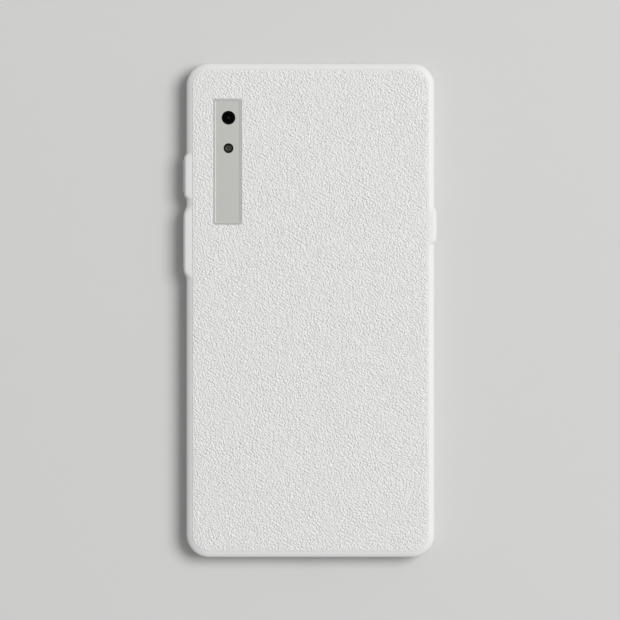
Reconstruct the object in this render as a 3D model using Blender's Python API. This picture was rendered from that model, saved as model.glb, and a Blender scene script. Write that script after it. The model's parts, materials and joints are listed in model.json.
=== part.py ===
"""Phone-sized e-reader: housing, lit display, boards, battery, keys and card drawer as separate pieces.

Sizes are in millimetres and become metres when a mesh is made. The reader lies on its glass: the glass
face is z = 0, the back faces +Z, the top edge is at +Y, and +X is to the right of someone who looks at
the back.
"""

import math

import bmesh
import bpy

MM = 0.001

# Outline of the body
BODY_WIDTH = 80.0
BODY_LENGTH = 159.0
CORNER_RADIUS = 7.3
CORNER_STEPS = 8
SMALL_STEPS = 2
ROUND_STEPS = 20
PORT_STEPS = 12
SLAB_CORNER = 0.3
CUT_CORNER = 0.2
CORNER_SHARE = 0.49

# Layers from the glass to the back
GLASS_THICKNESS = 0.7
TOUCH_THICKNESS = 0.2
GUIDE_THICKNESS = 0.4
PANEL_THICKNESS = 0.6
CUSHION_THICKNESS = 0.2
FLOOR_THICKNESS = 0.45
BAY_DEPTH = 3.85
BACK_WALL = 1.4

# Clearances
BOND_LINE = 0.04
SEAT_GAP = 0.05
FIT_GAP = 0.1
SEAM_GAP = 0.1
KEY_GAP = 0.15
PLATE_GAP = 0.1
DRAWER_GAP = 0.12
BAY_GAP = 0.3

# Rear cover
SIDE_WALL = 1.4
BACK_ROLL = 2.0
FIELD_STEP = 0.08
FIELD_RUN = 0.1
FIELD_LAP = 0.3
CEILING_CHAMFER = 0.5
SEAM_CHAMFER = 0.15
LOCATING_STEP = 0.4

# Front housing and glass
FRONT_RIM = 1.2
FRONT_ROLL = 0.7
RIM_DROP = 0.25
LEDGE_WIDTH = 1.4
ADHESIVE_THICKNESS = 0.1
ADHESIVE_MARGIN = 0.2
GLASS_EDGE = 0.35

# Display layers inside the pocket of the front housing
TOUCH_MARGIN = 0.3
GUIDE_SIDE_MARGIN = 1.0
GUIDE_END_MARGIN = 3.4
PANEL_SIDE_MARGIN = 1.2
PANEL_END_MARGIN = 4.4
CUSHION_MARGIN = 3.0
LIGHT_COUNT = 10
LIGHT_LENGTH = 2.6
LIGHT_DEPTH = 1.1
LIGHT_STRIP_WIDTH = 1.9
LIGHT_STRIP_BASE = 0.14
LIGHT_STRIP_MARGIN = 3.4
FLEX_THICKNESS = 0.15
FLEX_BEND = 0.45
DISPLAY_FLEX_WIDTH = 18.0
DISPLAY_FLEX_REACH = 2.6

# Camera plate in the back
PLATE_WIDTH = 9.1
PLATE_LENGTH = 40.4
PLATE_CORNER = 0.6
PLATE_THICKNESS = 0.8
PLATE_RIM_SLOPE = 0.34
PLATE_RIM_FALL = 0.12
PLATE_RIM_WIDTH = 0.1
PLATE_DISH_SLOPE = 0.36
PLATE_DISH_DEPTH = 0.07
PLATE_FROM_LEFT = 13.34
PLATE_FROM_TOP = 11.55
WINDOW_OFFSET = 0.3
RECESS_DEPTH = 0.9
CAMERA_FROM_PLATE_TOP = 6.05
FLASH_FROM_PLATE_TOP = 15.85
CAMERA_RING_DIAMETER = 4.35
CAMERA_WINDOW_DIAMETER = 3.3
CAMERA_APERTURE = 2.4
CAMERA_WINDOW_THICKNESS = 0.5
CAMERA_WINDOW_DROP = 0.1
CAMERA_BASE_SIDE = 8.4
CAMERA_BASE_CORNER = 0.8
CAMERA_BASE_HEIGHT = 2.6
CAMERA_BARREL_DIAMETER = 6.2
FLASH_DIAMETER = 3.1
FLASH_LED_SIDE = 2.4
FLASH_LED_HEIGHT = 0.75

# Keys and the raised shoulders round them
KEY_HEIGHT = 2.2
KEY_CORNER = 0.7
KEY_EDGE = 0.2
KEY_LIFT = 1.55
SHOULDER_ROLL = 1.1
SHOULDER_SINK = 0.03
SHOULDER_ROOT = 0.1
RAMP_STEPS = 5
RAMP_EASE = 1.7
POWER_FROM_TOP = 36.3
POWER_LENGTH = 10.6
POWER_PROUD = 0.4
POWER_SHOULDER = 0.7
POWER_SHOULDER_LENGTH = 15.2
POWER_RAMP = 2.1
VOLUME_FROM_TOP = 57.7
VOLUME_LENGTH = 16.4
VOLUME_PROUD = 0.15
VOLUME_SHOULDER = 0.9
VOLUME_SHOULDER_LENGTH = 22.8
VOLUME_RAMP = 2.9
VOLUME_FLANGE_LENGTH = 5.6
VOLUME_NUB_SPAN = 11.0
FUNCTION_FROM_TOP = 52.4
FUNCTION_LENGTH = 8.2
FUNCTION_PROUD = 0.15
FUNCTION_SHOULDER = 0.55
FUNCTION_SHOULDER_LENGTH = 11.9
FUNCTION_RAMP = 1.6

# Behind the keys, from the side wall inwards
FLANGE_THICKNESS = 0.6
FLANGE_REACH = 0.4
NUB_ROOT = 0.15
NUB_DEPTH = 0.4
NUB_SIDE = 1.4
PRESS_GAP = 0.3
SWITCH_TIP = 0.15
SWITCH_TIP_SIDE = 1.2
SWITCH_DEPTH = 1.2
SWITCH_LENGTH = 3.4
SWITCH_HEIGHT = 1.8
KEY_FLEX_HEIGHT = 2.1
BRACKET_THICKNESS = 0.3
BRACKET_HEIGHT = 2.2
BRACKET_FOOT = 0.5
BRACKET_END = 7.0
KEY_TAIL_WIDTH = 4.0
KEY_TAIL_REACH = 4.0
KEY_TAIL_THICKNESS = 0.13
KEY_TAIL_LIFT = 0.3
SIDE_TAIL_OFFSET = 4.5
FUNCTION_TAIL_OFFSET = 14.5

# Main board and what it carries
BOSS_HEIGHT = 0.72
BOSS_DIAMETER = 3.2
BOARD_THICKNESS = 0.8
BOARD_FROM_TOP = 6.0
BOARD_LENGTH = 39.5
BOARD_CORNER = 1.5
SCREW_INSET = 3.2
SCREW_HEAD_DIAMETER = 2.6
SCREW_HEAD_HEIGHT = 0.5
SCREW_CROWN_DIAMETER = 2.1
SCREW_CROWN_HEIGHT = 0.15
SCREW_SHANK_DIAMETER = 1.4
SCREW_DEPTH = 0.9
SCREW_CLEARANCE = 0.1
CONNECTOR_HEIGHT = 0.8
DISPLAY_CONNECTOR_LENGTH = 3.5
DISPLAY_CONNECTOR_MARGIN = 1.0
DISPLAY_CONNECTOR_FROM_EDGE = 3.0
BATTERY_CONNECTOR_WIDTH = 7.0
BATTERY_CONNECTOR_FROM_SIDE = 9.65
LINK_CONNECTOR_WIDTH = 12.0
LINK_CONNECTOR_SPACE = 3.5
LOW_CONNECTOR_LENGTH = 3.4
LOW_CONNECTOR_FROM_EDGE = 2.6
SHEET = 0.2
SHIELD_HEIGHT = 1.3
SHIELD_CORNER = 0.8
PROCESSOR_SHIELD_WIDTH = 24.0
PROCESSOR_SHIELD_LENGTH = 18.0
PROCESSOR_SHIELD_X = -3.0
PROCESSOR_SHIELD_FROM_TOP = 24.0
PROCESSOR_SIDE = 10.4
MEMORY_WIDTH = 9.0
MEMORY_LENGTH = 12.0
CHIP_HEIGHT = 0.85
CHIP_SPACING = 11.2
POWER_SHIELD_WIDTH = 20.0
POWER_SHIELD_LENGTH = 8.0
POWER_SHIELD_X = 10.0
POWER_SHIELD_FROM_TOP = 39.0
POWER_CHIP_SIDE = 5.5
THERMAL_PAD_WIDTH = 18.0
THERMAL_PAD_LENGTH = 14.0
THERMAL_PAD_CORNER = 1.0
ANTENNA_WIDTH = 36.0
ANTENNA_LENGTH = 5.5
ANTENNA_CORNER = 0.6
ANTENNA_X = 6.0
ANTENNA_FROM_TOP = 5.8

# Card drawer on the right edge
DRAWER_FROM_TOP = 24.0
FACE_LENGTH = 17.4
FACE_HEIGHT = 1.8
FACE_DEPTH = 1.25
FACE_EDGE = 0.12
DRAWER_OFFSET = -2.0
DRAWER_WIDTH = 12.6
DRAWER_REACH = 20.0
DRAWER_THICKNESS = 0.7
CARD_WIDTH = 11.0
CARD_LENGTH = 15.0
CARD_DEPTH = 0.5
CARD_GAP = 0.1
CARD_RIM = 1.2
PIN_HOLE_DIAMETER = 1.0
PIN_HOLE_OFFSET = 6.8
SOCKET_OVERHANG = 0.8
SOCKET_SHEET = 0.15
SOCKET_FLANK = 0.8
CONTACT_HEIGHT = 0.17
CONTACT_WIDTH = 10.0
CONTACT_LENGTH = 9.0
EJECT_THICKNESS = 0.5
EJECT_ROD_WIDTH = 0.8
EJECT_ROD_END = 1.1
LEVER_WIDTH = 1.4
LEVER_CORNER = 0.4
LEVER_PIN_DIAMETER = 0.8
LEVER_PIN_OFFSET = 4.0
LEVER_TIP = 3.0

# Battery
BATTERY_CORNER = 1.2
BATTERY_EDGE = 0.5
TAPE_THICKNESS = 0.1
TAPE_WIDTH = 40.0
TAPE_MARGIN = 14.0
BATTERY_BOARD_WIDTH = 30.0
BATTERY_BOARD_LENGTH = 3.2
BATTERY_BOARD_HEIGHT = 1.0
BATTERY_BOARD_FROM_SIDE = 2.65
BATTERY_TAIL_WIDTH = 5.0
BATTERY_TAIL_LAP = 1.1

# Bottom edge
SUB_BAY_LENGTH = 20.6
SUB_BOARD_FROM_SIDE = 16.0
SUB_BOARD_LENGTH = 15.2
SUB_BOARD_CORNER = 1.0
SUB_BOARD_EDGE = 2.1
SUB_SCREW_INSET = 2.4
USB_WIDTH = 8.94
USB_HEIGHT = 3.16
USB_DEPTH = 7.3
USB_SHEET = 0.3
USB_BACK = 1.0
USB_DROP = 0.15
TONGUE_WIDTH = 6.7
TONGUE_HEIGHT = 0.7
TONGUE_LENGTH = 4.6
SPEAKER_WIDTH = 20.4
SPEAKER_FROM_RIGHT = 6.2
SPEAKER_LENGTH = 14.6
SPEAKER_CORNER = 1.2
SPEAKER_HOLES = 6
SPEAKER_HOLE_DIAMETER = 1.2
SPEAKER_HOLE_PITCH = 2.3
MESH_THICKNESS = 0.15
MESH_MARGIN = 0.7
MIC_FROM_END = 7.0
MIC_HOLE_DIAMETER = 0.8
MIC_WIDTH = 3.6
MIC_LENGTH = 2.8
MIC_HEIGHT = 1.0
BOOT_WIDTH = 3.0

# Heights that follow from the layers
TOUCH_Z = GLASS_THICKNESS + BOND_LINE
GUIDE_Z = TOUCH_Z + TOUCH_THICKNESS + BOND_LINE
PANEL_Z = GUIDE_Z + GUIDE_THICKNESS + BOND_LINE
CUSHION_Z = PANEL_Z + PANEL_THICKNESS + BOND_LINE
FLOOR_Z = CUSHION_Z + CUSHION_THICKNESS + BOND_LINE
BAY_Z = FLOOR_Z + FLOOR_THICKNESS
CEILING_Z = BAY_Z + BAY_DEPTH
BACK_Z = CEILING_Z + BACK_WALL
LEDGE_Z = GLASS_THICKNESS + ADHESIVE_THICKNESS + 2 * BOND_LINE
SEAM_Z = BAY_Z - LOCATING_STEP
COVER_RIM_Z = SEAM_Z + SEAM_GAP
ROLL_TOP_Z = BACK_Z - FIELD_STEP
ROLL_Z = ROLL_TOP_Z - BACK_ROLL
PLATE_Z = BACK_Z - RECESS_DEPTH + BOND_LINE
PLATE_RIM_Z = PLATE_Z + PLATE_THICKNESS
DISH_Z = PLATE_RIM_Z - PLATE_DISH_DEPTH
KEY_Z = BAY_Z + KEY_LIFT
BOARD_Z = BAY_Z + BOSS_HEIGHT + SEAT_GAP
BOARD_TOP_Z = BOARD_Z + BOARD_THICKNESS
ON_BOARD_Z = BOARD_TOP_Z + SEAT_GAP
CONNECTOR_TOP_Z = BOARD_TOP_Z + CONNECTOR_HEIGHT
FLEX_ON_CONNECTOR_Z = CONNECTOR_TOP_Z + SEAT_GAP + FLEX_THICKNESS / 2
SHIELD_TOP_Z = ON_BOARD_Z + SHIELD_HEIGHT
BATTERY_Z = BAY_Z + TAPE_THICKNESS + 2 * BOND_LINE
BATTERY_TOP_Z = CEILING_Z - BAY_GAP
DRAWER_Z = ON_BOARD_Z + CONTACT_HEIGHT + DRAWER_GAP
USB_Z = BAY_Z + FIT_GAP + USB_HEIGHT / 2

# Places that follow from the outline
RIGHT = BODY_WIDTH / 2
TOP = BODY_LENGTH / 2
INNER_RIGHT = RIGHT - SIDE_WALL
INNER_BOTTOM = -TOP + SIDE_WALL
POCKET_INSET = FRONT_RIM + LEDGE_WIDTH
KEY_SWITCH_DEPTH = KEY_GAP + FLANGE_THICKNESS + NUB_DEPTH + PRESS_GAP
KEY_FLEX_DEPTH = KEY_SWITCH_DEPTH + SWITCH_TIP + SWITCH_DEPTH + SEAT_GAP
BRACKET_DEPTH = KEY_FLEX_DEPTH + FLEX_THICKNESS + SEAT_GAP
BAY_RIGHT = INNER_RIGHT - BRACKET_DEPTH - BRACKET_THICKNESS - BRACKET_FOOT - FIT_GAP
PLATE_X = PLATE_FROM_LEFT - RIGHT
PLATE_HIGH_Y = TOP - PLATE_FROM_TOP
PLATE = (PLATE_X, PLATE_HIGH_Y - PLATE_LENGTH / 2)
CAMERA = (PLATE_X + WINDOW_OFFSET, PLATE_HIGH_Y - CAMERA_FROM_PLATE_TOP)
FLASH = (PLATE_X + WINDOW_OFFSET, PLATE_HIGH_Y - FLASH_FROM_PLATE_TOP)
BOARD_EDGE_Y = TOP - BOARD_FROM_TOP
BOARD_LOW_Y = BOARD_EDGE_Y - BOARD_LENGTH
BATTERY_BOARD_Y = BOARD_LOW_Y - BAY_GAP - BATTERY_BOARD_LENGTH / 2
BATTERY_HIGH_Y = BATTERY_BOARD_Y - BATTERY_BOARD_LENGTH / 2 - BAY_GAP
BATTERY_LOW_Y = -TOP + SUB_BAY_LENGTH
BATTERY_BOARD_X = BATTERY_BOARD_FROM_SIDE + BATTERY_BOARD_WIDTH / 2 - BAY_RIGHT
BATTERY_CONNECTOR_X = BATTERY_CONNECTOR_FROM_SIDE - BAY_RIGHT
LINK_CONNECTOR_X = (BATTERY_CONNECTOR_X + BATTERY_CONNECTOR_WIDTH / 2 + LINK_CONNECTOR_SPACE
                    + LINK_CONNECTOR_WIDTH / 2)
LOW_CONNECTOR_Y = BOARD_LOW_Y + LOW_CONNECTOR_FROM_EDGE + LOW_CONNECTOR_LENGTH / 2
DISPLAY_CONNECTOR_Y = BOARD_EDGE_Y - DISPLAY_CONNECTOR_FROM_EDGE - DISPLAY_CONNECTOR_LENGTH / 2
FACE_Y = TOP - DRAWER_FROM_TOP
DRAWER_Y = FACE_Y + DRAWER_OFFSET
DRAWER_MOUTH_X = RIGHT - FACE_DEPTH
DRAWER_END_X = DRAWER_MOUTH_X - DRAWER_REACH
SOCKET_HALF = DRAWER_WIDTH / 2 + DRAWER_GAP + SOCKET_FLANK
ROD_Y = FACE_Y + PIN_HOLE_OFFSET
LEVER_X = DRAWER_END_X - PRESS_GAP - LEVER_WIDTH / 2
LEVER_PIN = (LEVER_X, ROD_Y - LEVER_PIN_OFFSET)
SPEAKER_RIGHT = RIGHT - SPEAKER_FROM_RIGHT
SPEAKER_X = SPEAKER_RIGHT - SPEAKER_WIDTH / 2
SUB_BOARD_LEFT = SUB_BOARD_FROM_SIDE - RIGHT
SUB_BOARD_RIGHT = SPEAKER_RIGHT - SPEAKER_WIDTH - BAY_GAP
SUB_BOARD_LOW_Y = -TOP + SUB_BOARD_EDGE
SUB_BOARD_HIGH_Y = SUB_BOARD_LOW_Y + SUB_BOARD_LENGTH
SUB_CONNECTOR_Y = SUB_BOARD_HIGH_Y - LOW_CONNECTOR_FROM_EDGE - LOW_CONNECTOR_LENGTH / 2
MIC_X = SUB_BOARD_LEFT + MIC_FROM_END
MESH_Y = INNER_BOTTOM + SEAT_GAP
SPEAKER_LOW_Y = MESH_Y + MESH_THICKNESS + SEAT_GAP
DISPLAY_RISER_Y = TOP - POCKET_INSET - PANEL_END_MARGIN + DISPLAY_FLEX_REACH
SCREW_HOLE = SCREW_SHANK_DIAMETER + 2 * SCREW_CLEARANCE
MAIN_SCREWS = [
    (side * (BAY_RIGHT - SCREW_INSET), y)
    for y in (BOARD_EDGE_Y - SCREW_INSET, BOARD_LOW_Y + SCREW_INSET)
    for side in (-1, 1)
]
SUB_SCREWS = [
    (x, SUB_BOARD_HIGH_Y - SUB_SCREW_INSET)
    for x in (SUB_BOARD_LEFT + SUB_SCREW_INSET, SUB_BOARD_RIGHT - SUB_SCREW_INSET)
]

# Name of a surface: base colour, roughness, metallic
FINISHES = {
    "white_shell": ((0.72, 0.72, 0.71), 0.55, 0.0),
    "white_key": ((0.70, 0.70, 0.69), 0.45, 0.0),
    "grey_plate": ((0.50, 0.51, 0.48), 0.35, 0.3),
    "black_plastic": ((0.012, 0.012, 0.013), 0.4, 0.0),
    "clear_glass": ((0.85, 0.87, 0.87), 0.05, 0.0),
    "flash_window": ((0.10, 0.10, 0.07), 0.2, 0.0),
    "phosphor": ((0.75, 0.62, 0.12), 0.5, 0.0),
    "adhesive": ((0.05, 0.05, 0.05), 0.8, 0.0),
    "clear_film": ((0.80, 0.83, 0.83), 0.1, 0.0),
    "light_guide": ((0.82, 0.84, 0.85), 0.1, 0.0),
    "epaper": ((0.55, 0.55, 0.52), 0.8, 0.0),
    "foam": ((0.03, 0.03, 0.03), 0.95, 0.0),
    "flex": ((0.35, 0.16, 0.03), 0.4, 0.0),
    "board": ((0.02, 0.09, 0.05), 0.5, 0.0),
    "chip": ((0.02, 0.02, 0.022), 0.45, 0.0),
    "steel": ((0.55, 0.56, 0.57), 0.3, 1.0),
    "thermal_pad": ((0.45, 0.47, 0.55), 0.8, 0.0),
    "battery_foil": ((0.04, 0.04, 0.045), 0.45, 0.0),
    "tape": ((0.60, 0.60, 0.55), 0.6, 0.0),
    "drawer_plastic": ((0.68, 0.68, 0.67), 0.45, 0.0),
    "contact_plastic": ((0.03, 0.03, 0.03), 0.5, 0.0),
    "speaker_plastic": ((0.02, 0.02, 0.02), 0.5, 0.0),
    "mesh": ((0.06, 0.06, 0.06), 0.7, 0.0),
    "rubber": ((0.03, 0.03, 0.03), 0.9, 0.0),
}


def finish(name):
    """The named surface as a Principled BSDF material."""
    colour, roughness, metallic = FINISHES[name]
    material = bpy.data.materials.get(name) or bpy.data.materials.new(name)
    material.use_nodes = True
    shader = material.node_tree.nodes["Principled BSDF"]
    shader.inputs["Base Color"].default_value = (*colour, 1.0)
    shader.inputs["Roughness"].default_value = roughness
    shader.inputs["Metallic"].default_value = metallic
    return material


def rounded(width, height, radius, centre=(0.0, 0.0), steps=SMALL_STEPS):
    """Points round a rectangle with round corners, anticlockwise."""
    radius = min(radius, CORNER_SHARE * width, CORNER_SHARE * height)
    points = []
    for corner, (sx, sy) in enumerate(((1, 1), (-1, 1), (-1, -1), (1, -1))):
        for step in range(steps + 1):
            angle = math.pi / 2 * (corner + step / steps)
            x = centre[0] + sx * (width / 2 - radius) + radius * math.cos(angle)
            y = centre[1] + sy * (height / 2 - radius) + radius * math.sin(angle)
            points.append((x, y))
    return points


def circle(diameter, centre=(0.0, 0.0), steps=ROUND_STEPS):
    """Points round a circle, anticlockwise."""
    turns = [2 * math.pi * step / steps for step in range(steps)]
    radius = diameter / 2
    return [(centre[0] + radius * math.cos(a), centre[1] + radius * math.sin(a)) for a in turns]


def strip(path, thickness):
    """Outline of a bent sheet whose middle follows the path."""
    sides = ([], [])
    for i, (u, v) in enumerate(path):
        before = path[max(i - 1, 0)]
        after = path[min(i + 1, len(path) - 1)]
        into = math.atan2(v - before[1], u - before[0]) if i else None
        out = math.atan2(after[1] - v, after[0] - u) if i + 1 < len(path) else into
        into = out if into is None else into
        turn = math.remainder(out - into, 2 * math.pi)
        reach = thickness / 2 / math.cos(turn / 2)
        across = into + turn / 2 + math.pi / 2
        for side, points in zip((1, -1), sides):
            points.append((u + side * reach * math.cos(across), v + side * reach * math.sin(across)))
    return sides[0] + sides[1][::-1]


def at_x(points, x):
    return [(x, y, z) for y, z in points]


def at_y(points, y):
    return [(x, y, z) for x, z in points]


def at_z(points, z):
    return [(x, y, z) for x, y in points]


def body_ring(inset, z):
    """The body's outline moved inwards, at a height."""
    size = (BODY_WIDTH - 2 * inset, BODY_LENGTH - 2 * inset)
    return at_z(rounded(*size, CORNER_RADIUS - inset, steps=CORNER_STEPS), z)


def loft(bm, rings, origin):
    """Extrude a face through the rings, which all have as many points, into one closed body."""
    def local(point):
        return [(value - start) * MM for value, start in zip(point, origin)]

    first = bm.faces.new([bm.verts.new(local(point)) for point in rings[0]])
    end = first
    for ring in rings[1:]:
        made = bmesh.ops.extrude_face_region(bm, geom=[end])
        if end is not first:
            bmesh.ops.delete(bm, geom=[end], context="FACES_ONLY")
        end = next(item for item in made["geom"] if isinstance(item, bmesh.types.BMFace))
        for vert, point in zip(end.verts, ring):
            vert.co = local(point)


def make(name, bodies, surface, origin=(0.0, 0.0, 0.0)):
    """An object of closed bodies, each given as its rings."""
    bm = bmesh.new()
    for rings in bodies:
        loft(bm, rings, origin)
    bmesh.ops.recalc_face_normals(bm, faces=bm.faces)
    mesh = bpy.data.meshes.new(name)
    bm.to_mesh(mesh)
    bm.free()
    made = bpy.data.objects.new(name, mesh)
    made.location = [value * MM for value in origin]
    if surface:
        mesh.materials.append(finish(surface))
    bpy.context.scene.collection.objects.link(made)
    return made


def piece(name, rings, surface, origin=(0.0, 0.0, 0.0)):
    """One sub-part of the reader."""
    made = make(name, [rings], surface, origin)
    made.parent = reader
    return made


def slab(name, centre, size, bottom, top, surface, radius=SLAB_CORNER):
    """A flat sub-part with round corners."""
    shape = rounded(size[0], size[1], radius, centre)
    return piece(name, [at_z(shape, bottom), at_z(shape, top)], surface)


def shape_with(target, operation, name, bodies):
    """Cut hidden bodies from a piece, or join them to it."""
    helper = make(name, bodies, None)
    helper.hide_render = True
    helper.display_type = "WIRE"
    helper.parent = reader
    change = target.modifiers.new(name, "BOOLEAN")
    change.operation = operation
    change.solver = "EXACT"
    change.object = helper


def cut(target, name, *bodies):
    shape_with(target, "DIFFERENCE", name, bodies)


def join(target, name, *bodies):
    shape_with(target, "UNION", name, bodies)


def box(centre, size, bottom, top, radius=CUT_CORNER):
    """Rings of an upright block, for cuts and joins."""
    shape = rounded(size[0], size[1], radius, centre)
    return [at_z(shape, bottom), at_z(shape, top)]


def pillar(diameter, centre, bottom, top, steps=ROUND_STEPS):
    """Rings of an upright cylinder, for cuts and joins."""
    shape = circle(diameter, centre, steps)
    return [at_z(shape, bottom), at_z(shape, top)]


def shoulder(side, from_top, length, height, ramp):
    """Rings of the swelling at a key: it rises from the rolled border, runs level and falls again."""
    def section(y, rise):
        outer = rise * height - (1 - rise) * SHOULDER_ROOT
        roll = BACK_ROLL + (SHOULDER_ROLL - BACK_ROLL) * rise
        top = ROLL_TOP_Z - SHOULDER_SINK
        points = [(-BACK_ROLL - FIELD_LAP, top)]
        for step in range(CORNER_STEPS // 2 + 1):
            angle = math.pi * (0.5 - step / CORNER_STEPS)
            points.append((outer - roll + roll * math.cos(angle), top - roll + roll * math.sin(angle)))
        foot = COVER_RIM_Z + 2 * SHOULDER_SINK
        points.append((outer, foot + max(outer, 0.0) + SHOULDER_ROOT))
        points.append((min(outer, 0.0) - SHOULDER_ROOT / 2, foot))
        points.append((-SIDE_WALL / 2, foot))
        points.append((-SIDE_WALL / 2, ROLL_Z))
        points.append((-BACK_ROLL - FIELD_LAP, ROLL_TOP_Z - BACK_WALL / 2))
        return [(side * (RIGHT + out), y, z) for out, z in points]

    middle = TOP - from_top
    shares = [step / RAMP_STEPS for step in range(RAMP_STEPS + 1)]
    climb = [(share, 1 - (1 - share) ** RAMP_EASE) for share in shares]
    rising = [section(middle - length / 2 + ramp * along, rise) for along, rise in climb]
    falling = [section(middle + length / 2 - ramp * along, rise) for along, rise in reversed(climb)]
    return rising + falling


def key_slot(side, from_top, length):
    """Rings of the opening for a key through the side wall."""
    height = KEY_HEIGHT + 2 * KEY_GAP
    shape = rounded(length + 2 * KEY_GAP, height, KEY_CORNER + KEY_GAP, (TOP - from_top, KEY_Z))
    return [at_x(shape, side * (INNER_RIGHT - SIDE_WALL)), at_x(shape, side * (RIGHT + 2 * SIDE_WALL))]


def rear_cover():
    """The moulded back: shell, rolled border, raised grain field, shoulders and every opening."""
    rings = [
        body_ring(SIDE_WALL + CEILING_CHAMFER, CEILING_Z),
        body_ring(SIDE_WALL, CEILING_Z - CEILING_CHAMFER),
        body_ring(SIDE_WALL, COVER_RIM_Z),
        body_ring(SEAM_CHAMFER, COVER_RIM_Z),
        body_ring(0.0, COVER_RIM_Z + SEAM_CHAMFER),
    ]
    for step in range(CORNER_STEPS - 1):
        angle = math.pi / 2 * step / (CORNER_STEPS - 2)
        rings.append(body_ring(BACK_ROLL * (1 - math.cos(angle)), ROLL_Z + BACK_ROLL * math.sin(angle)))
    rings.append(body_ring(BACK_ROLL + FIELD_RUN, BACK_Z))
    cover = piece("rear_cover", rings, "white_shell")

    join(cover, "power_shoulder",
         shoulder(-1, POWER_FROM_TOP, POWER_SHOULDER_LENGTH, POWER_SHOULDER, POWER_RAMP))
    join(cover, "volume_shoulder",
         shoulder(-1, VOLUME_FROM_TOP, VOLUME_SHOULDER_LENGTH, VOLUME_SHOULDER, VOLUME_RAMP))
    join(cover, "function_shoulder",
         shoulder(1, FUNCTION_FROM_TOP, FUNCTION_SHOULDER_LENGTH, FUNCTION_SHOULDER, FUNCTION_RAMP))
    cut(cover, "key_slots",
        key_slot(-1, POWER_FROM_TOP, POWER_LENGTH),
        key_slot(-1, VOLUME_FROM_TOP, VOLUME_LENGTH),
        key_slot(1, FUNCTION_FROM_TOP, FUNCTION_LENGTH))

    room = 2 * PLATE_GAP
    recess = rounded(PLATE_WIDTH + room, PLATE_LENGTH + room, PLATE_CORNER + PLATE_GAP, PLATE)
    cut(cover, "plate_recess", [at_z(recess, BACK_Z - RECESS_DEPTH), at_z(recess, BACK_Z + BACK_WALL)])
    cut(cover, "window_holes",
        pillar(CAMERA_RING_DIAMETER + 2 * FIT_GAP, CAMERA, CEILING_Z - BACK_WALL, BACK_Z + BACK_WALL),
        pillar(FLASH_DIAMETER + 2 * FIT_GAP, FLASH, CEILING_Z - BACK_WALL, BACK_Z + BACK_WALL))

    face = rounded(FACE_LENGTH + 2 * DRAWER_GAP, FACE_HEIGHT + 2 * DRAWER_GAP, FACE_HEIGHT / 2,
                   (FACE_Y, DRAWER_Z + DRAWER_THICKNESS / 2), steps=2 * SMALL_STEPS)
    cut(cover, "drawer_slot", [at_x(face, INNER_RIGHT - SIDE_WALL), at_x(face, RIGHT + SIDE_WALL)])

    def through_bottom(shape):
        return [at_y(shape, INNER_BOTTOM + SIDE_WALL), at_y(shape, -TOP - SIDE_WALL)]

    usb = rounded(USB_WIDTH + 2 * FIT_GAP, USB_HEIGHT + 2 * FIT_GAP, USB_HEIGHT, (0.0, USB_Z), CORNER_STEPS)
    cut(cover, "usb_opening", through_bottom(usb))
    ports = [circle(MIC_HOLE_DIAMETER, (MIC_X, USB_Z), PORT_STEPS)]
    for number in range(SPEAKER_HOLES):
        x = SPEAKER_X + (number - (SPEAKER_HOLES - 1) / 2) * SPEAKER_HOLE_PITCH
        ports.append(circle(SPEAKER_HOLE_DIAMETER, (x, USB_Z), PORT_STEPS))
    cut(cover, "sound_holes", *(through_bottom(port) for port in ports))


def front_housing():
    """Front rim with the glass ledge, the display pocket and the floor that carries the boards."""
    rings = [
        body_ring(POCKET_INSET, FLOOR_Z),
        body_ring(POCKET_INSET, LEDGE_Z),
        body_ring(FRONT_RIM, LEDGE_Z),
        body_ring(FRONT_RIM, RIM_DROP),
    ]
    for step in range(CORNER_STEPS // 2 + 1):
        angle = math.pi / 2 * step / (CORNER_STEPS // 2)
        inset = FRONT_ROLL * (1 - math.sin(angle))
        rings.append(body_ring(inset, RIM_DROP + FRONT_ROLL * (1 - math.cos(angle))))
    rings.append(body_ring(0.0, SEAM_Z))
    rings.append(body_ring(SIDE_WALL + FIT_GAP, SEAM_Z))
    rings.append(body_ring(SIDE_WALL + FIT_GAP, BAY_Z))
    housing = piece("front_housing", rings, "white_shell")

    posts = MAIN_SCREWS + SUB_SCREWS
    sunk = FLOOR_THICKNESS / 2
    boss_top = BAY_Z + BOSS_HEIGHT
    bore_end = boss_top - SCREW_DEPTH - SCREW_CLEARANCE
    join(housing, "bosses",
         *(pillar(BOSS_DIAMETER, post, BAY_Z - sunk, boss_top) for post in posts))
    cut(housing, "boss_bores",
        *(pillar(SCREW_HOLE, post, bore_end, BOARD_TOP_Z, PORT_STEPS) for post in posts))
    slot = (DISPLAY_FLEX_WIDTH + 2 * BAY_GAP, FLEX_THICKNESS + 2 * BAY_GAP)
    cut(housing, "display_flex_slot", box((0.0, DISPLAY_RISER_Y), slot, FLOOR_Z - sunk, BAY_Z + sunk))


def cover_lens():
    """Front glass with a rounded front edge; its front face is what the reader rests on."""
    inset = FRONT_RIM + FIT_GAP
    piece("cover_lens", [
        body_ring(inset + GLASS_EDGE, 0.0),
        body_ring(inset + GLASS_EDGE / 3, GLASS_EDGE / 3),
        body_ring(inset, GLASS_EDGE),
        body_ring(inset, GLASS_THICKNESS),
    ], "clear_glass")


def lens_adhesive():
    """Ring that bonds the glass to its ledge."""
    bottom = GLASS_THICKNESS + BOND_LINE
    top = bottom + ADHESIVE_THICKNESS
    outer = FRONT_RIM + FIT_GAP + ADHESIVE_MARGIN
    inner = POCKET_INSET - ADHESIVE_MARGIN
    ring = piece("lens_adhesive", [body_ring(outer, bottom), body_ring(outer, top)], "adhesive")
    cut(ring, "adhesive_opening", [body_ring(inner, bottom - top), body_ring(inner, top + top)])


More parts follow.
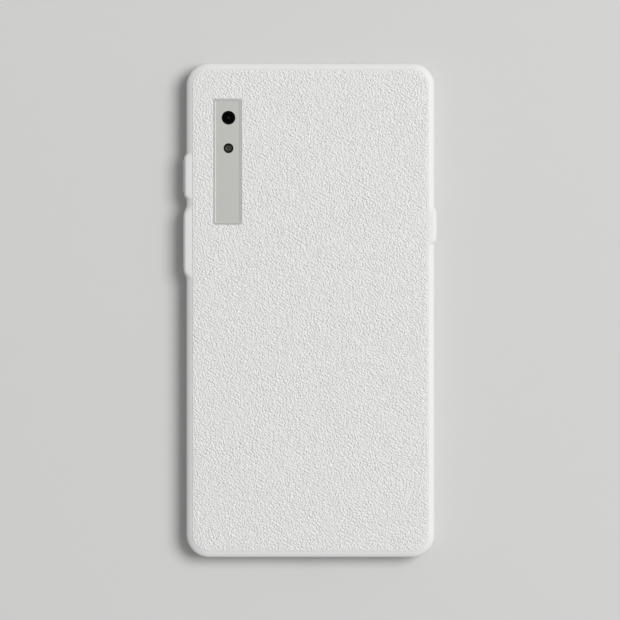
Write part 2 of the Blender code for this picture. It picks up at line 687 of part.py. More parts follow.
def pocket_sheet(name, side_margin, end_margin, bottom, thickness, surface):
    """A display layer with margins to the pocket of the front housing."""
    width = BODY_WIDTH - 2 * (POCKET_INSET + side_margin)
    length = BODY_LENGTH - 2 * (POCKET_INSET + end_margin)
    radius = max(CORNER_RADIUS - POCKET_INSET - end_margin, BOARD_CORNER)
    shape = rounded(width, length, radius, steps=CORNER_STEPS // 2)
    piece(name, [at_z(shape, bottom), at_z(shape, bottom + thickness)], surface)


def display_layers():
    """Touch film, light guide, e-paper panel and its cushion, stacked behind the glass."""
    pocket_sheet("touch_sensor", TOUCH_MARGIN, TOUCH_MARGIN, TOUCH_Z, TOUCH_THICKNESS, "clear_film")
    pocket_sheet("light_guide", GUIDE_SIDE_MARGIN, GUIDE_END_MARGIN, GUIDE_Z, GUIDE_THICKNESS, "light_guide")
    pocket_sheet("epaper_panel", PANEL_SIDE_MARGIN, PANEL_END_MARGIN, PANEL_Z, PANEL_THICKNESS, "epaper")
    pocket_sheet("panel_cushion", PANEL_SIDE_MARGIN + CUSHION_MARGIN, PANEL_END_MARGIN + CUSHION_MARGIN,
                 CUSHION_Z, CUSHION_THICKNESS, "foam")


def light_strip():
    """Row of light-emitting diodes on a narrow base along the lower end of the light guide."""
    high = -TOP + POCKET_INSET + GUIDE_END_MARGIN - FIT_GAP
    y = high - LIGHT_STRIP_WIDTH / 2
    width = BODY_WIDTH - 2 * (POCKET_INSET + LIGHT_STRIP_MARGIN)
    top = GUIDE_Z + GUIDE_THICKNESS
    base = slab("light_strip", (0.0, y), (width, LIGHT_STRIP_WIDTH), top - LIGHT_STRIP_BASE, top, "flex")
    pitch = width / LIGHT_COUNT
    lights = []
    for number in range(LIGHT_COUNT):
        x = (number - (LIGHT_COUNT - 1) / 2) * pitch
        lights.append(box((x, y), (LIGHT_LENGTH, LIGHT_DEPTH), GUIDE_Z, top - LIGHT_STRIP_BASE / 2))
    join(base, "lights", *lights)


def display_flex():
    """Flex that leaves the panel, passes the floor and folds over the board onto its connector."""
    start = DISPLAY_RISER_Y - DISPLAY_FLEX_REACH + FIT_GAP
    level = PANEL_Z + PANEL_THICKNESS / 2
    path = [
        (start, level),
        (DISPLAY_RISER_Y - FLEX_BEND, level),
        (DISPLAY_RISER_Y, level + FLEX_BEND),
        (DISPLAY_RISER_Y, FLEX_ON_CONNECTOR_Z - FLEX_BEND),
        (DISPLAY_RISER_Y - FLEX_BEND, FLEX_ON_CONNECTOR_Z),
        (DISPLAY_CONNECTOR_Y - DISPLAY_CONNECTOR_LENGTH / 2, FLEX_ON_CONNECTOR_Z),
    ]
    shape = strip(path, FLEX_THICKNESS)
    half = DISPLAY_FLEX_WIDTH / 2
    piece("display_flex", [at_x(shape, -half), at_x(shape, half)], "flex")


def camera_plate():
    """Bare plate in the recess of the back: a low rim round a dish, with the camera and flash holes."""
    levels = ((0.0, PLATE_Z), (0.0, PLATE_RIM_Z - PLATE_RIM_FALL), (PLATE_RIM_SLOPE, PLATE_RIM_Z),
              (PLATE_RIM_WIDTH, PLATE_RIM_Z), (PLATE_DISH_SLOPE, DISH_Z))
    rings = []
    inset = 0.0
    for inward, z in levels:
        inset += inward
        shape = rounded(PLATE_WIDTH - 2 * inset, PLATE_LENGTH - 2 * inset, PLATE_CORNER, PLATE)
        rings.append(at_z(shape, z))
    plate = piece("camera_plate", rings, "grey_plate")
    cut(plate, "plate_holes",
        pillar(CAMERA_RING_DIAMETER + FIT_GAP, CAMERA, CEILING_Z, BACK_Z),
        pillar(FLASH_DIAMETER + FIT_GAP, FLASH, CEILING_Z, BACK_Z))


def camera_parts():
    """Black ring and its window in the plate, over the camera module on the floor."""
    window_top = DISH_Z - CAMERA_WINDOW_DROP
    window_bottom = window_top - CAMERA_WINDOW_THICKNESS
    ring = piece("camera_ring", pillar(CAMERA_RING_DIAMETER, CAMERA, CEILING_Z, DISH_Z), "black_plastic")
    narrow = circle(CAMERA_APERTURE, CAMERA)
    wide = circle(CAMERA_WINDOW_DIAMETER + FIT_GAP, CAMERA)
    seat = window_bottom - SEAT_GAP
    cut(ring, "camera_ring_bore",
        [at_z(narrow, CEILING_Z - BACK_WALL), at_z(narrow, seat), at_z(wide, seat), at_z(wide, BACK_Z)])

    piece("camera_window", pillar(CAMERA_WINDOW_DIAMETER, CAMERA, window_bottom, window_top), "clear_glass")

    bottom = BAY_Z + SEAT_GAP
    base = slab("camera_module", CAMERA, (CAMERA_BASE_SIDE, CAMERA_BASE_SIDE), bottom,
                bottom + CAMERA_BASE_HEIGHT, "black_plastic", CAMERA_BASE_CORNER)
    join(base, "camera_barrel",
         pillar(CAMERA_BARREL_DIAMETER, CAMERA, bottom + CAMERA_BASE_HEIGHT / 2, CEILING_Z - FIT_GAP))


def flash_parts():
    """Flash lamp on the board and the round window that carries its light through the back."""
    lamp_top = ON_BOARD_Z + FLASH_LED_HEIGHT
    slab("flash_led", FLASH, (FLASH_LED_SIDE, FLASH_LED_SIDE), ON_BOARD_Z, lamp_top, "phosphor")
    lens = circle(FLASH_DIAMETER, FLASH)
    edge = circle(FLASH_DIAMETER - FIT_GAP, FLASH)
    piece("flash_lens", [
        at_z(lens, lamp_top + SEAT_GAP),
        at_z(lens, DISH_Z - FIT_GAP / 2),
        at_z(edge, DISH_Z),
    ], "flash_window")


def press_key(name, side, y, length, reach, flange_length, feet, axis_x):
    """A key with a flange behind the wall and feet over its switches; its origin lies on its joint's axis."""
    seat = INNER_RIGHT - KEY_GAP
    back = seat - FLANGE_THICKNESS
    root = (seat + back) / 2
    face = rounded(length - 2 * KEY_EDGE, KEY_HEIGHT - 2 * KEY_EDGE, KEY_CORNER, (y, KEY_Z))
    cap = rounded(length, KEY_HEIGHT, KEY_CORNER, (y, KEY_Z))
    key = piece(name, [
        at_x(face, side * reach),
        at_x(cap, side * (reach - KEY_EDGE)),
        at_x(cap, side * root),
    ], "white_key", (side * axis_x, y, KEY_Z))
    flange = rounded(flange_length, KEY_HEIGHT + 2 * FLANGE_REACH, KEY_CORNER, (y, KEY_Z))
    join(key, name + "_flange", [at_x(flange, side * seat), at_x(flange, side * back)])
    nubs = [rounded(NUB_SIDE, NUB_SIDE, SEAT_GAP, (foot, KEY_Z)) for foot in feet]
    join(key, name + "_feet",
         *([at_x(nub, side * (root + NUB_ROOT)), at_x(nub, side * (back - NUB_DEPTH))] for nub in nubs))


def key_switch(name, side, y):
    """Side-push switch behind a key, with its tip towards the key."""
    front = INNER_RIGHT - KEY_SWITCH_DEPTH
    tip = rounded(SWITCH_TIP_SIDE, SWITCH_TIP_SIDE, SEAT_GAP, (y, KEY_Z))
    body = rounded(SWITCH_LENGTH, SWITCH_HEIGHT, SEAT_GAP, (y, KEY_Z))
    piece(name, [
        at_x(tip, side * front),
        at_x(tip, side * (front - SWITCH_TIP)),
        at_x(body, side * (front - SWITCH_TIP)),
        at_x(body, side * (front - SWITCH_TIP - SWITCH_DEPTH)),
    ], "steel")


def key_flex(name, side, low, high, tail_y):
    """Flex that stands behind the switches, with a tail folded over the bracket onto the board."""
    outer = INNER_RIGHT - KEY_FLEX_DEPTH
    standing = rounded(high - low, KEY_FLEX_HEIGHT, SEAT_GAP, ((high + low) / 2, KEY_Z))
    inner = outer - FLEX_THICKNESS
    flex = piece(name, [at_x(standing, side * outer), at_x(standing, side * inner)], "flex")
    middle = (outer + inner) / 2
    over = KEY_Z + KEY_FLEX_HEIGHT / 2 + KEY_TAIL_LIFT
    rest = ON_BOARD_Z + FLEX_THICKNESS / 2
    drop = middle - BRACKET_THICKNESS - BRACKET_FOOT - FLEX_THICKNESS - FIT_GAP
    path = [
        (side * middle, KEY_Z),
        (side * middle, over),
        (side * drop, over),
        (side * (drop - over + rest), rest),
        (side * (middle - KEY_TAIL_REACH), rest),
    ]
    tail = strip(path, KEY_TAIL_THICKNESS)
    half = KEY_TAIL_WIDTH / 2
    join(flex, name + "_tail", [at_y(tail, tail_y - half), at_y(tail, tail_y + half)])


def key_bracket(name, side, low, high):
    """Angle strip on the floor that backs the switches."""
    outer = INNER_RIGHT - BRACKET_DEPTH
    bottom = BAY_Z + SEAT_GAP
    inner = outer - BRACKET_THICKNESS
    section = [
        (side * outer, bottom),
        (side * outer, bottom + BRACKET_HEIGHT),
        (side * inner, bottom + BRACKET_HEIGHT),
        (side * inner, bottom + BRACKET_THICKNESS),
        (side * (inner - BRACKET_FOOT), bottom + BRACKET_THICKNESS),
        (side * (inner - BRACKET_FOOT), bottom),
    ]
    piece(name, [at_y(section, low), at_y(section, high)], "steel")


def keys():
    """The three keys with their switches, flexes and brackets."""
    power_y = TOP - POWER_FROM_TOP
    volume_y = TOP - VOLUME_FROM_TOP
    function_y = TOP - FUNCTION_FROM_TOP
    press_key("power_key", -1, power_y, POWER_LENGTH, RIGHT + POWER_SHOULDER + POWER_PROUD,
              POWER_LENGTH + 2 * FLANGE_REACH, [power_y], RIGHT)
    volume_feet = [volume_y + VOLUME_NUB_SPAN / 2, volume_y - VOLUME_NUB_SPAN / 2]
    press_key("volume_key", -1, volume_y, VOLUME_LENGTH, RIGHT + VOLUME_SHOULDER + VOLUME_PROUD,
              VOLUME_FLANGE_LENGTH, volume_feet, INNER_RIGHT - KEY_GAP - FLANGE_THICKNESS / 2)
    press_key("function_key", 1, function_y, FUNCTION_LENGTH, RIGHT + FUNCTION_SHOULDER + FUNCTION_PROUD,
              FUNCTION_LENGTH + 2 * FLANGE_REACH, [function_y], RIGHT)
    key_switch("power_switch", -1, power_y)
    key_switch("volume_up_switch", -1, volume_feet[0])
    key_switch("volume_down_switch", -1, volume_feet[1])
    key_switch("function_switch", 1, function_y)
    low = volume_y - VOLUME_NUB_SPAN / 2 - SWITCH_LENGTH
    high = power_y + BRACKET_END
    key_flex("side_key_flex", -1, low, high, power_y + SIDE_TAIL_OFFSET)
    key_bracket("side_key_bracket", -1, low, high)
    tail_y = function_y + FUNCTION_TAIL_OFFSET
    key_flex("function_key_flex", 1, function_y - BRACKET_END, tail_y + KEY_TAIL_WIDTH / 2, tail_y)
    key_bracket("function_key_bracket", 1, function_y - BRACKET_END, function_y + BRACKET_END)


def main_board():
    """Main board with its connectors, screw holes, camera window and the ejector's pivot pin."""
    middle = (BOARD_EDGE_Y + BOARD_LOW_Y) / 2
    size = (2 * BAY_RIGHT, BOARD_LENGTH)
    board = slab("main_board", (0.0, middle), size, BOARD_Z, BOARD_TOP_Z, "board", BOARD_CORNER)
    sunk = BOARD_Z + BOARD_THICKNESS / 2
    display_size = (DISPLAY_FLEX_WIDTH + 2 * DISPLAY_CONNECTOR_MARGIN, DISPLAY_CONNECTOR_LENGTH)
    battery_size = (BATTERY_CONNECTOR_WIDTH, LOW_CONNECTOR_LENGTH)
    link_size = (LINK_CONNECTOR_WIDTH, LOW_CONNECTOR_LENGTH)
    join(board, "main_connectors",
         box((0.0, DISPLAY_CONNECTOR_Y), display_size, sunk, CONNECTOR_TOP_Z),
         box((BATTERY_CONNECTOR_X, LOW_CONNECTOR_Y), battery_size, sunk, CONNECTOR_TOP_Z),
         box((LINK_CONNECTOR_X, LOW_CONNECTOR_Y), link_size, sunk, CONNECTOR_TOP_Z))
    pin_top = ON_BOARD_Z + EJECT_THICKNESS + SEAT_GAP
    join(board, "lever_pin", pillar(LEVER_PIN_DIAMETER, LEVER_PIN, sunk, pin_top, PORT_STEPS))
    below = BOARD_Z - BOARD_THICKNESS
    above = BOARD_TOP_Z + BOARD_THICKNESS
    side = CAMERA_BASE_SIDE + 2 * BAY_GAP
    cut(board, "main_board_holes",
        box(CAMERA, (side, side), below, above, CAMERA_BASE_CORNER),
        *(pillar(SCREW_HOLE, post, below, above, PORT_STEPS) for post in MAIN_SCREWS))


def shield(name, centre, size):
    """Drawn-steel can, open towards the board."""
    can = slab(name, centre, size, ON_BOARD_Z, SHIELD_TOP_Z, "steel", SHIELD_CORNER)
    inside = (size[0] - 2 * SHEET, size[1] - 2 * SHEET)
    cut(can, name + "_inside", box(centre, inside, BOARD_Z, SHIELD_TOP_Z - SHEET, SHIELD_CORNER - SHEET))


def board_parts():
    """Chips under their shields, and the pad that takes heat to the back."""
    x = PROCESSOR_SHIELD_X
    y = TOP - PROCESSOR_SHIELD_FROM_TOP
    shield("processor_shield", (x, y), (PROCESSOR_SHIELD_WIDTH, PROCESSOR_SHIELD_LENGTH))
    top = ON_BOARD_Z + CHIP_HEIGHT
    half = CHIP_SPACING / 2
    slab("processor", (x - half, y), (PROCESSOR_SIDE, PROCESSOR_SIDE), ON_BOARD_Z, top, "chip")
    slab("memory_chip", (x + half, y), (MEMORY_WIDTH, MEMORY_LENGTH), ON_BOARD_Z, top, "chip")
    slab("thermal_pad", (x, y), (THERMAL_PAD_WIDTH, THERMAL_PAD_LENGTH), SHIELD_TOP_Z + SEAT_GAP,
         CEILING_Z - SEAT_GAP, "thermal_pad", THERMAL_PAD_CORNER)
    centre = (POWER_SHIELD_X, TOP - POWER_SHIELD_FROM_TOP)
    shield("power_shield", centre, (POWER_SHIELD_WIDTH, POWER_SHIELD_LENGTH))
    slab("power_chip", centre, (POWER_CHIP_SIDE, POWER_CHIP_SIDE), ON_BOARD_Z, top, "chip")
    slab("antenna_flex", (ANTENNA_X, TOP - ANTENNA_FROM_TOP), (ANTENNA_WIDTH, ANTENNA_LENGTH),
         CEILING_Z - SEAT_GAP - FLEX_THICKNESS, CEILING_Z - SEAT_GAP, "flex", ANTENNA_CORNER)


def screws():
    """Cross-head screws that hold both boards to the bosses."""
    names = [f"main_board_screw_{number + 1}" for number in range(len(MAIN_SCREWS))]
    names += [f"sub_board_screw_{number + 1}" for number in range(len(SUB_SCREWS))]
    for name, post in zip(names, MAIN_SCREWS + SUB_SCREWS):
        head = circle(SCREW_HEAD_DIAMETER, post, PORT_STEPS)
        crown = circle(SCREW_CROWN_DIAMETER, post, PORT_STEPS)
        shank = circle(SCREW_SHANK_DIAMETER, post, PORT_STEPS)
        piece(name, [
            at_z(crown, ON_BOARD_Z + SCREW_HEAD_HEIGHT),
            at_z(head, ON_BOARD_Z + SCREW_HEAD_HEIGHT - SCREW_CROWN_HEIGHT),
            at_z(head, ON_BOARD_Z),
            at_z(shank, ON_BOARD_Z),
            at_z(shank, BAY_Z + BOSS_HEIGHT - SCREW_DEPTH),
        ], "steel")


def card_tray():
    """Drawer for a memory card: face plate in the side wall and an open frame behind it."""
    z = DRAWER_Z + DRAWER_THICKNESS / 2
    steps = 2 * SMALL_STEPS
    end = FACE_HEIGHT / 2
    face = rounded(FACE_LENGTH, FACE_HEIGHT, end, (FACE_Y, z), steps)
    front = rounded(FACE_LENGTH - 2 * FACE_EDGE, FACE_HEIGHT - 2 * FACE_EDGE, end, (FACE_Y, z), steps)
    frame = rounded(DRAWER_WIDTH, DRAWER_THICKNESS, SEAT_GAP, (DRAWER_Y, z), steps)
    tray = piece("card_tray", [
        at_x(front, RIGHT),
        at_x(face, RIGHT - FACE_EDGE),
        at_x(face, DRAWER_MOUTH_X),
        at_x(frame, DRAWER_MOUTH_X),
        at_x(frame, DRAWER_END_X),
    ], "drawer_plastic", (RIGHT, DRAWER_Y, z))
    card = (DRAWER_END_X + CARD_RIM + CARD_LENGTH / 2, DRAWER_Y)
    pocket = (CARD_LENGTH + 2 * CARD_GAP, CARD_WIDTH + 2 * CARD_GAP)
    opening = (CARD_LENGTH - 2 * CARD_RIM, CARD_WIDTH - 2 * CARD_RIM)
    top = DRAWER_Z + DRAWER_THICKNESS
    cut(tray, "card_pocket", box(card, pocket, top - CARD_DEPTH, top + DRAWER_THICKNESS))
    cut(tray, "card_opening", box(card, opening, DRAWER_Z - DRAWER_THICKNESS, top))
    hole = circle(PIN_HOLE_DIAMETER, (ROD_Y, z), PORT_STEPS)
    cut(tray, "pin_hole", [at_x(hole, DRAWER_MOUTH_X - FACE_DEPTH), at_x(hole, RIGHT + FACE_DEPTH)])


def card_socket():
    """Sheet tunnel and contact block for the drawer, with the rod and lever that push it out."""
    mouth = BAY_RIGHT + SOCKET_OVERHANG
    top = DRAWER_Z + DRAWER_THICKNESS + DRAWER_GAP
    middle = (DRAWER_END_X + mouth) / 2
    length = mouth - DRAWER_END_X
    tunnel = slab("card_socket", (middle, DRAWER_Y), (length, 2 * SOCKET_HALF), ON_BOARD_Z,
                  top + SOCKET_SHEET, "steel", CUT_CORNER)
    inside = DRAWER_WIDTH + 2 * DRAWER_GAP
    cut(tunnel, "drawer_tunnel", box((middle, DRAWER_Y), (2 * length, inside), BOARD_Z, top, SEAT_GAP))
    contacts_x = BAY_RIGHT - CONTACT_LENGTH / 2 - SCREW_INSET
    slab("card_contacts", (contacts_x, DRAWER_Y), (CONTACT_LENGTH, CONTACT_WIDTH), ON_BOARD_Z,
         ON_BOARD_Z + CONTACT_HEIGHT, "contact_plastic")

    rod_outer = DRAWER_MOUTH_X - EJECT_ROD_END
    rod_inner = LEVER_X + LEVER_WIDTH / 2 + PRESS_GAP
    eject_top = ON_BOARD_Z + EJECT_THICKNESS
    slab("eject_rod", ((rod_outer + rod_inner) / 2, ROD_Y), (rod_outer - rod_inner, EJECT_ROD_WIDTH),
         ON_BOARD_Z, eject_top, "steel")
    high = ROD_Y + EJECT_ROD_WIDTH
    low = DRAWER_Y - LEVER_TIP
    lever = slab("eject_lever", (LEVER_X, (high + low) / 2), (LEVER_WIDTH, high - low), ON_BOARD_Z,
                 eject_top, "steel", LEVER_CORNER)
    cut(lever, "lever_pivot",
        pillar(LEVER_PIN_DIAMETER + 2 * FIT_GAP, LEVER_PIN, BOARD_Z, eject_top + EJECT_THICKNESS, PORT_STEPS))


def battery():
    """Pouch cell on its tape, with the protection board at its upper end and the tail to the main board."""
    middle = (BATTERY_HIGH_Y + BATTERY_LOW_Y) / 2
    width = 2 * BAY_RIGHT
    length = BATTERY_HIGH_Y - BATTERY_LOW_Y

    def ring(inset, z):
        return at_z(rounded(width - 2 * inset, length - 2 * inset, BATTERY_CORNER, (0.0, middle)), z)

    piece("battery", [
        ring(BATTERY_EDGE, BATTERY_Z),
        ring(0.0, BATTERY_Z + BATTERY_EDGE),
        ring(0.0, BATTERY_TOP_Z - BATTERY_EDGE),
        ring(BATTERY_EDGE, BATTERY_TOP_Z),
    ], "battery_foil")
    slab("battery_tape", (0.0, middle), (TAPE_WIDTH, length - 2 * TAPE_MARGIN), BAY_Z + BOND_LINE,
         BAY_Z + BOND_LINE + TAPE_THICKNESS, "tape")
    top = BOARD_Z + BATTERY_BOARD_HEIGHT
    slab("battery_board", (BATTERY_BOARD_X, BATTERY_BOARD_Y), (BATTERY_BOARD_WIDTH, BATTERY_BOARD_LENGTH),
         BOARD_Z, top, "board")
    rest = top + SEAT_GAP + FLEX_THICKNESS / 2
    lift = FLEX_ON_CONNECTOR_Z - rest
    edge = BATTERY_BOARD_Y + BATTERY_BOARD_LENGTH / 2
    path = [
        (BATTERY_BOARD_Y - BATTERY_TAIL_LAP, rest),
        (edge, rest),
        (edge + lift, FLEX_ON_CONNECTOR_Z),
        (LOW_CONNECTOR_Y + LOW_CONNECTOR_LENGTH / 2, FLEX_ON_CONNECTOR_Z),
    ]
    tail = strip(path, FLEX_THICKNESS)
    sides = [BATTERY_CONNECTOR_X - BATTERY_TAIL_WIDTH / 2, BATTERY_CONNECTOR_X + BATTERY_TAIL_WIDTH / 2]
    piece("battery_tail", [at_x(tail, x) for x in sides], "flex")


def link_ribbon():
    """Ribbon over the battery that joins the two boards."""
    over = BATTERY_TOP_Z + SEAT_GAP + FLEX_THICKNESS / 2
    lift = over - FLEX_ON_CONNECTOR_Z
    half_connector = LOW_CONNECTOR_LENGTH / 2
    path = [
        (LOW_CONNECTOR_Y + half_connector, FLEX_ON_CONNECTOR_Z),
        (LOW_CONNECTOR_Y - half_connector, FLEX_ON_CONNECTOR_Z),
        (LOW_CONNECTOR_Y - half_connector - lift, over),
        (SUB_CONNECTOR_Y + half_connector + lift, over),
        (SUB_CONNECTOR_Y + half_connector, FLEX_ON_CONNECTOR_Z),
        (SUB_CONNECTOR_Y - half_connector, FLEX_ON_CONNECTOR_Z),
    ]
    shape = strip(path, FLEX_THICKNESS)
    half = LINK_CONNECTOR_WIDTH / 2 - BAY_GAP
    piece("link_ribbon", [at_x(shape, LINK_CONNECTOR_X - half), at_x(shape, LINK_CONNECTOR_X + half)], "flex")


def sub_board():
    """Lower board with the notch its socket is sunk into."""
    centre = ((SUB_BOARD_LEFT + SUB_BOARD_RIGHT) / 2, (SUB_BOARD_LOW_Y + SUB_BOARD_HIGH_Y) / 2)
    size = (SUB_BOARD_RIGHT - SUB_BOARD_LEFT, SUB_BOARD_LENGTH)
    board = slab("sub_board", centre, size, BOARD_Z, BOARD_TOP_Z, "board", SUB_BOARD_CORNER)
    join(board, "sub_connector",
         box((LINK_CONNECTOR_X, SUB_CONNECTOR_Y), (LINK_CONNECTOR_WIDTH, LOW_CONNECTOR_LENGTH),
             BOARD_Z + BOARD_THICKNESS / 2, CONNECTOR_TOP_Z))
    below = BOARD_Z - BOARD_THICKNESS
    above = BOARD_TOP_Z + BOARD_THICKNESS
    notch_end = -TOP + USB_DROP + USB_DEPTH + BAY_GAP
    notch_start = SUB_BOARD_LOW_Y - SUB_BOARD_EDGE
    notch = (USB_WIDTH + 2 * BAY_GAP, notch_end - notch_start)
    cut(board, "sub_board_holes",
        box((0.0, (notch_start + notch_end) / 2), notch, below, above),
        *(pillar(SCREW_HOLE, post, below, above, PORT_STEPS) for post in SUB_SCREWS))


def usb_socket():
    """Reversible charging socket: drawn shell, closed at the back, and the contact tongue in it."""
    mouth = -TOP + USB_DROP
    back = mouth + USB_DEPTH
    outside = rounded(USB_WIDTH, USB_HEIGHT, USB_HEIGHT, (0.0, USB_Z), CORNER_STEPS)
    inner_size = (USB_WIDTH - 2 * USB_SHEET, USB_HEIGHT - 2 * USB_SHEET)
    inside = rounded(*inner_size, USB_HEIGHT, (0.0, USB_Z), CORNER_STEPS)
    piece("usb_shell", [
        at_y(outside, back),
        at_y(outside, mouth),
        at_y(inside, mouth),
        at_y(inside, back - USB_BACK),
    ], "steel")
    tongue = rounded(TONGUE_WIDTH, TONGUE_HEIGHT, USB_SHEET, (0.0, USB_Z))
    tip = rounded(TONGUE_WIDTH - USB_SHEET, TONGUE_HEIGHT - USB_SHEET, USB_SHEET, (0.0, USB_Z))
    root = back - USB_BACK - SEAT_GAP
    piece("usb_tongue", [
        at_y(tongue, root),
        at_y(tongue, root - TONGUE_LENGTH + USB_SHEET),
        at_y(tip, root - TONGUE_LENGTH),
    ], "contact_plastic")


def sound_parts():
    """Speaker box with its mesh behind the row of holes, and the microphone with its rubber boot."""
    centre = (SPEAKER_X, SPEAKER_LOW_Y + SPEAKER_LENGTH / 2)
    slab("speaker_module", centre, (SPEAKER_WIDTH, SPEAKER_LENGTH), BAY_Z + SEAT_GAP,
         CEILING_Z - CEILING_CHAMFER, "speaker_plastic", SPEAKER_CORNER)
    width = (SPEAKER_HOLES - 1) * SPEAKER_HOLE_PITCH + SPEAKER_HOLE_DIAMETER + 2 * MESH_MARGIN
    height = SPEAKER_HOLE_DIAMETER + 2 * MESH_MARGIN
    shape = rounded(width, height, MESH_MARGIN, (SPEAKER_X, USB_Z))
    piece("speaker_mesh", [at_y(shape, MESH_Y), at_y(shape, MESH_Y + MESH_THICKNESS)], "mesh")

    mic_low = SUB_BOARD_LOW_Y + SUB_BOARD_EDGE
    mic_top = ON_BOARD_Z + MIC_HEIGHT
    slab("microphone", (MIC_X, mic_low + MIC_LENGTH / 2), (MIC_WIDTH, MIC_LENGTH), ON_BOARD_Z,
         mic_top, "steel")
    boot_low = INNER_BOTTOM + SEAT_GAP
    boot_high = mic_low - SEAT_GAP
    slab("mic_boot", (MIC_X, (boot_low + boot_high) / 2), (BOOT_WIDTH, boot_high - boot_low), ON_BOARD_Z,
         mic_top, "rubber")


for old in list(bpy.data.objects):
    bpy.data.objects.remove(old, do_unlink=True)
reader = bpy.data.objects.new("e_reader", None)
bpy.context.scene.collection.objects.link(reader)

rear_cover()
front_housing()
cover_lens()
lens_adhesive()
display_layers()
light_strip()
display_flex()
camera_plate()
camera_parts()
flash_parts()
keys()
main_board()
board_parts()
screws()
card_tray()
card_socket()
battery()
link_ribbon()
sub_board()
usb_socket()
sound_parts()
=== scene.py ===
import json
import math

import bmesh
import bpy
from mathutils import Matrix, Vector, noise


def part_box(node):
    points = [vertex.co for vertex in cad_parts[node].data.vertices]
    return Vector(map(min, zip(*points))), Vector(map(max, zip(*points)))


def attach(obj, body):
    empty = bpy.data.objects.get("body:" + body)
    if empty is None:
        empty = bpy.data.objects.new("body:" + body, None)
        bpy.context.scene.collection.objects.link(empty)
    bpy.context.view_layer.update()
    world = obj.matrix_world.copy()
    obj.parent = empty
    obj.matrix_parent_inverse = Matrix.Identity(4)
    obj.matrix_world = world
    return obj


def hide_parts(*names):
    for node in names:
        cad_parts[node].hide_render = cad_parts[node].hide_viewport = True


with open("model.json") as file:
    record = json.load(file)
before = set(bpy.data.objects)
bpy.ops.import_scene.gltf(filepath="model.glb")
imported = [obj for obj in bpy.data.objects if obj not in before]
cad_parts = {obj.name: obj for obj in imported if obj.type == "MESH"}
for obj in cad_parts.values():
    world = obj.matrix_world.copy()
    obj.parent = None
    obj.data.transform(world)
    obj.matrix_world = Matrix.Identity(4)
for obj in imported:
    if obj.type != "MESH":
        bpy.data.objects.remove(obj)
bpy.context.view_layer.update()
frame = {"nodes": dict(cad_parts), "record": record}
mm = 0.001  # pieces are drawn in millimetres and scaled once, when they are placed
cutPast = 1.0  # cuts run this far past what they go through
noise.seed_set(7)  # the grain comes out the same each time
print("frame loaded:", len(frame["nodes"]), "nodes")


def meshFrom(name, bm):
    mesh = bpy.data.meshes.new(name)
    bm.to_mesh(mesh)
    bm.free()
    return mesh


def addObject(name, data):
    item = bpy.data.objects.new(name, data)
    bpy.context.scene.collection.objects.link(item)
    return item


# camera first: straight down on the back, as in the photo
cameraSet = {
    "pixels": 620,                   # side of the picture
    "pixelsPerMm": 3.11,             # at the level of the back
    "bodyMiddle": (310.47, 310.2),   # where the middle of the body falls, from the top left
    "backLevel": 8.0,
    "lens": 200.0,
    "sensor": 36.0,
    "clip": (0.01, 20.0),
}


def placeCamera(s):
    data = bpy.data.cameras.new("photoCamera")
    data.lens = s["lens"]
    data.sensor_width = s["sensor"]
    data.sensor_fit = "HORIZONTAL"
    data.clip_start, data.clip_end = s["clip"]
    camera = addObject("photoCamera", data)
    middle = s["pixels"] / 2
    across = (middle - s["bodyMiddle"][0]) / s["pixelsPerMm"]
    along = (s["bodyMiddle"][1] - middle) / s["pixelsPerMm"]
    height = s["backLevel"] + s["lens"] / s["sensor"] * s["pixels"] / s["pixelsPerMm"]
    camera.location = Vector((across, along, height)) * mm
    bpy.context.scene.camera = camera


placeCamera(cameraSet)
print("camera placed")


# shaping helpers, all in millimetres
def boxMm(node):
    low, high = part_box(node)
    return low / mm, high / mm


def middleOf(node):
    low, high = boxMm(node)
    return (low.x + high.x) / 2, (low.y + high.y) / 2


def radiusOf(node):
    low, high = boxMm(node)
    return (high.x - low.x) / 2


def roundedFace(width, length, corner, level, segments):
    bm = bmesh.new()
    made = bmesh.ops.create_grid(bm, x_segments=1, y_segments=1, size=0.5)
    bmesh.ops.scale(bm, vec=(width, length, 1.0), verts=made["verts"])
    bmesh.ops.bevel(bm, geom=made["verts"], offset=corner, offset_type="OFFSET", affect="VERTICES",
                    segments=segments, profile=0.5, material=-1)
    bmesh.ops.translate(bm, vec=(0.0, 0.0, level), verts=bm.verts)
    return bm


def openEdges(bm):
    return [edge for edge in bm.edges if edge.is_boundary]


def pullEdge(bm):
    # a new ring of points, drawn out of the open edge
    made = bmesh.ops.extrude_edge_only(bm, edges=openEdges(bm))
    return [item for item in made["geom"] if isinstance(item, bmesh.types.BMVert)]


def addRing(bm, half, corner, shape):
    # pulls the open edge out to its next ring; shape gives inset and level for each point
    for vert in pullEdge(bm):
        core = Vector((max(corner - half[0], min(half[0] - corner, vert.co.x)),
                       max(corner - half[1], min(half[1] - corner, vert.co.y))))
        outward = (vert.co.xy - core).normalized()
        inset, level = shape(core, outward)
        vert.co = (core + outward * (corner - inset)).to_3d()
        vert.co.z = level


def addPlainRings(bm, half, corner, rings):
    for ring in rings:
        addRing(bm, half, corner, lambda core, outward, ring=ring: ring)


def closeUp(bm):
    # caps the open edge and turns every face outwards
    bmesh.ops.contextual_create(bm, geom=openEdges(bm))
    bmesh.ops.recalc_face_normals(bm, faces=bm.faces)
    return bm


def ringed(half, corner, rings, segments):
    # a closed body drawn as rings of (inset, level), capped at its first and last ring
    inset, level = rings[0]
    bm = roundedFace(2 * (half[0] - inset), 2 * (half[1] - inset), corner - inset, level, segments)
    addPlainRings(bm, half, corner, rings[1:])
    return closeUp(bm)


def rollRings(level, radius, start, end, steps):
    # rings round a bend; angles are from straight out (0) to straight up (90)
    rings = []
    for step in range(steps + 1):
        angle = math.radians(start + (end - start) * step / steps)
        rings.append((radius - radius * math.cos(angle), level + radius * math.sin(angle)))
    return rings


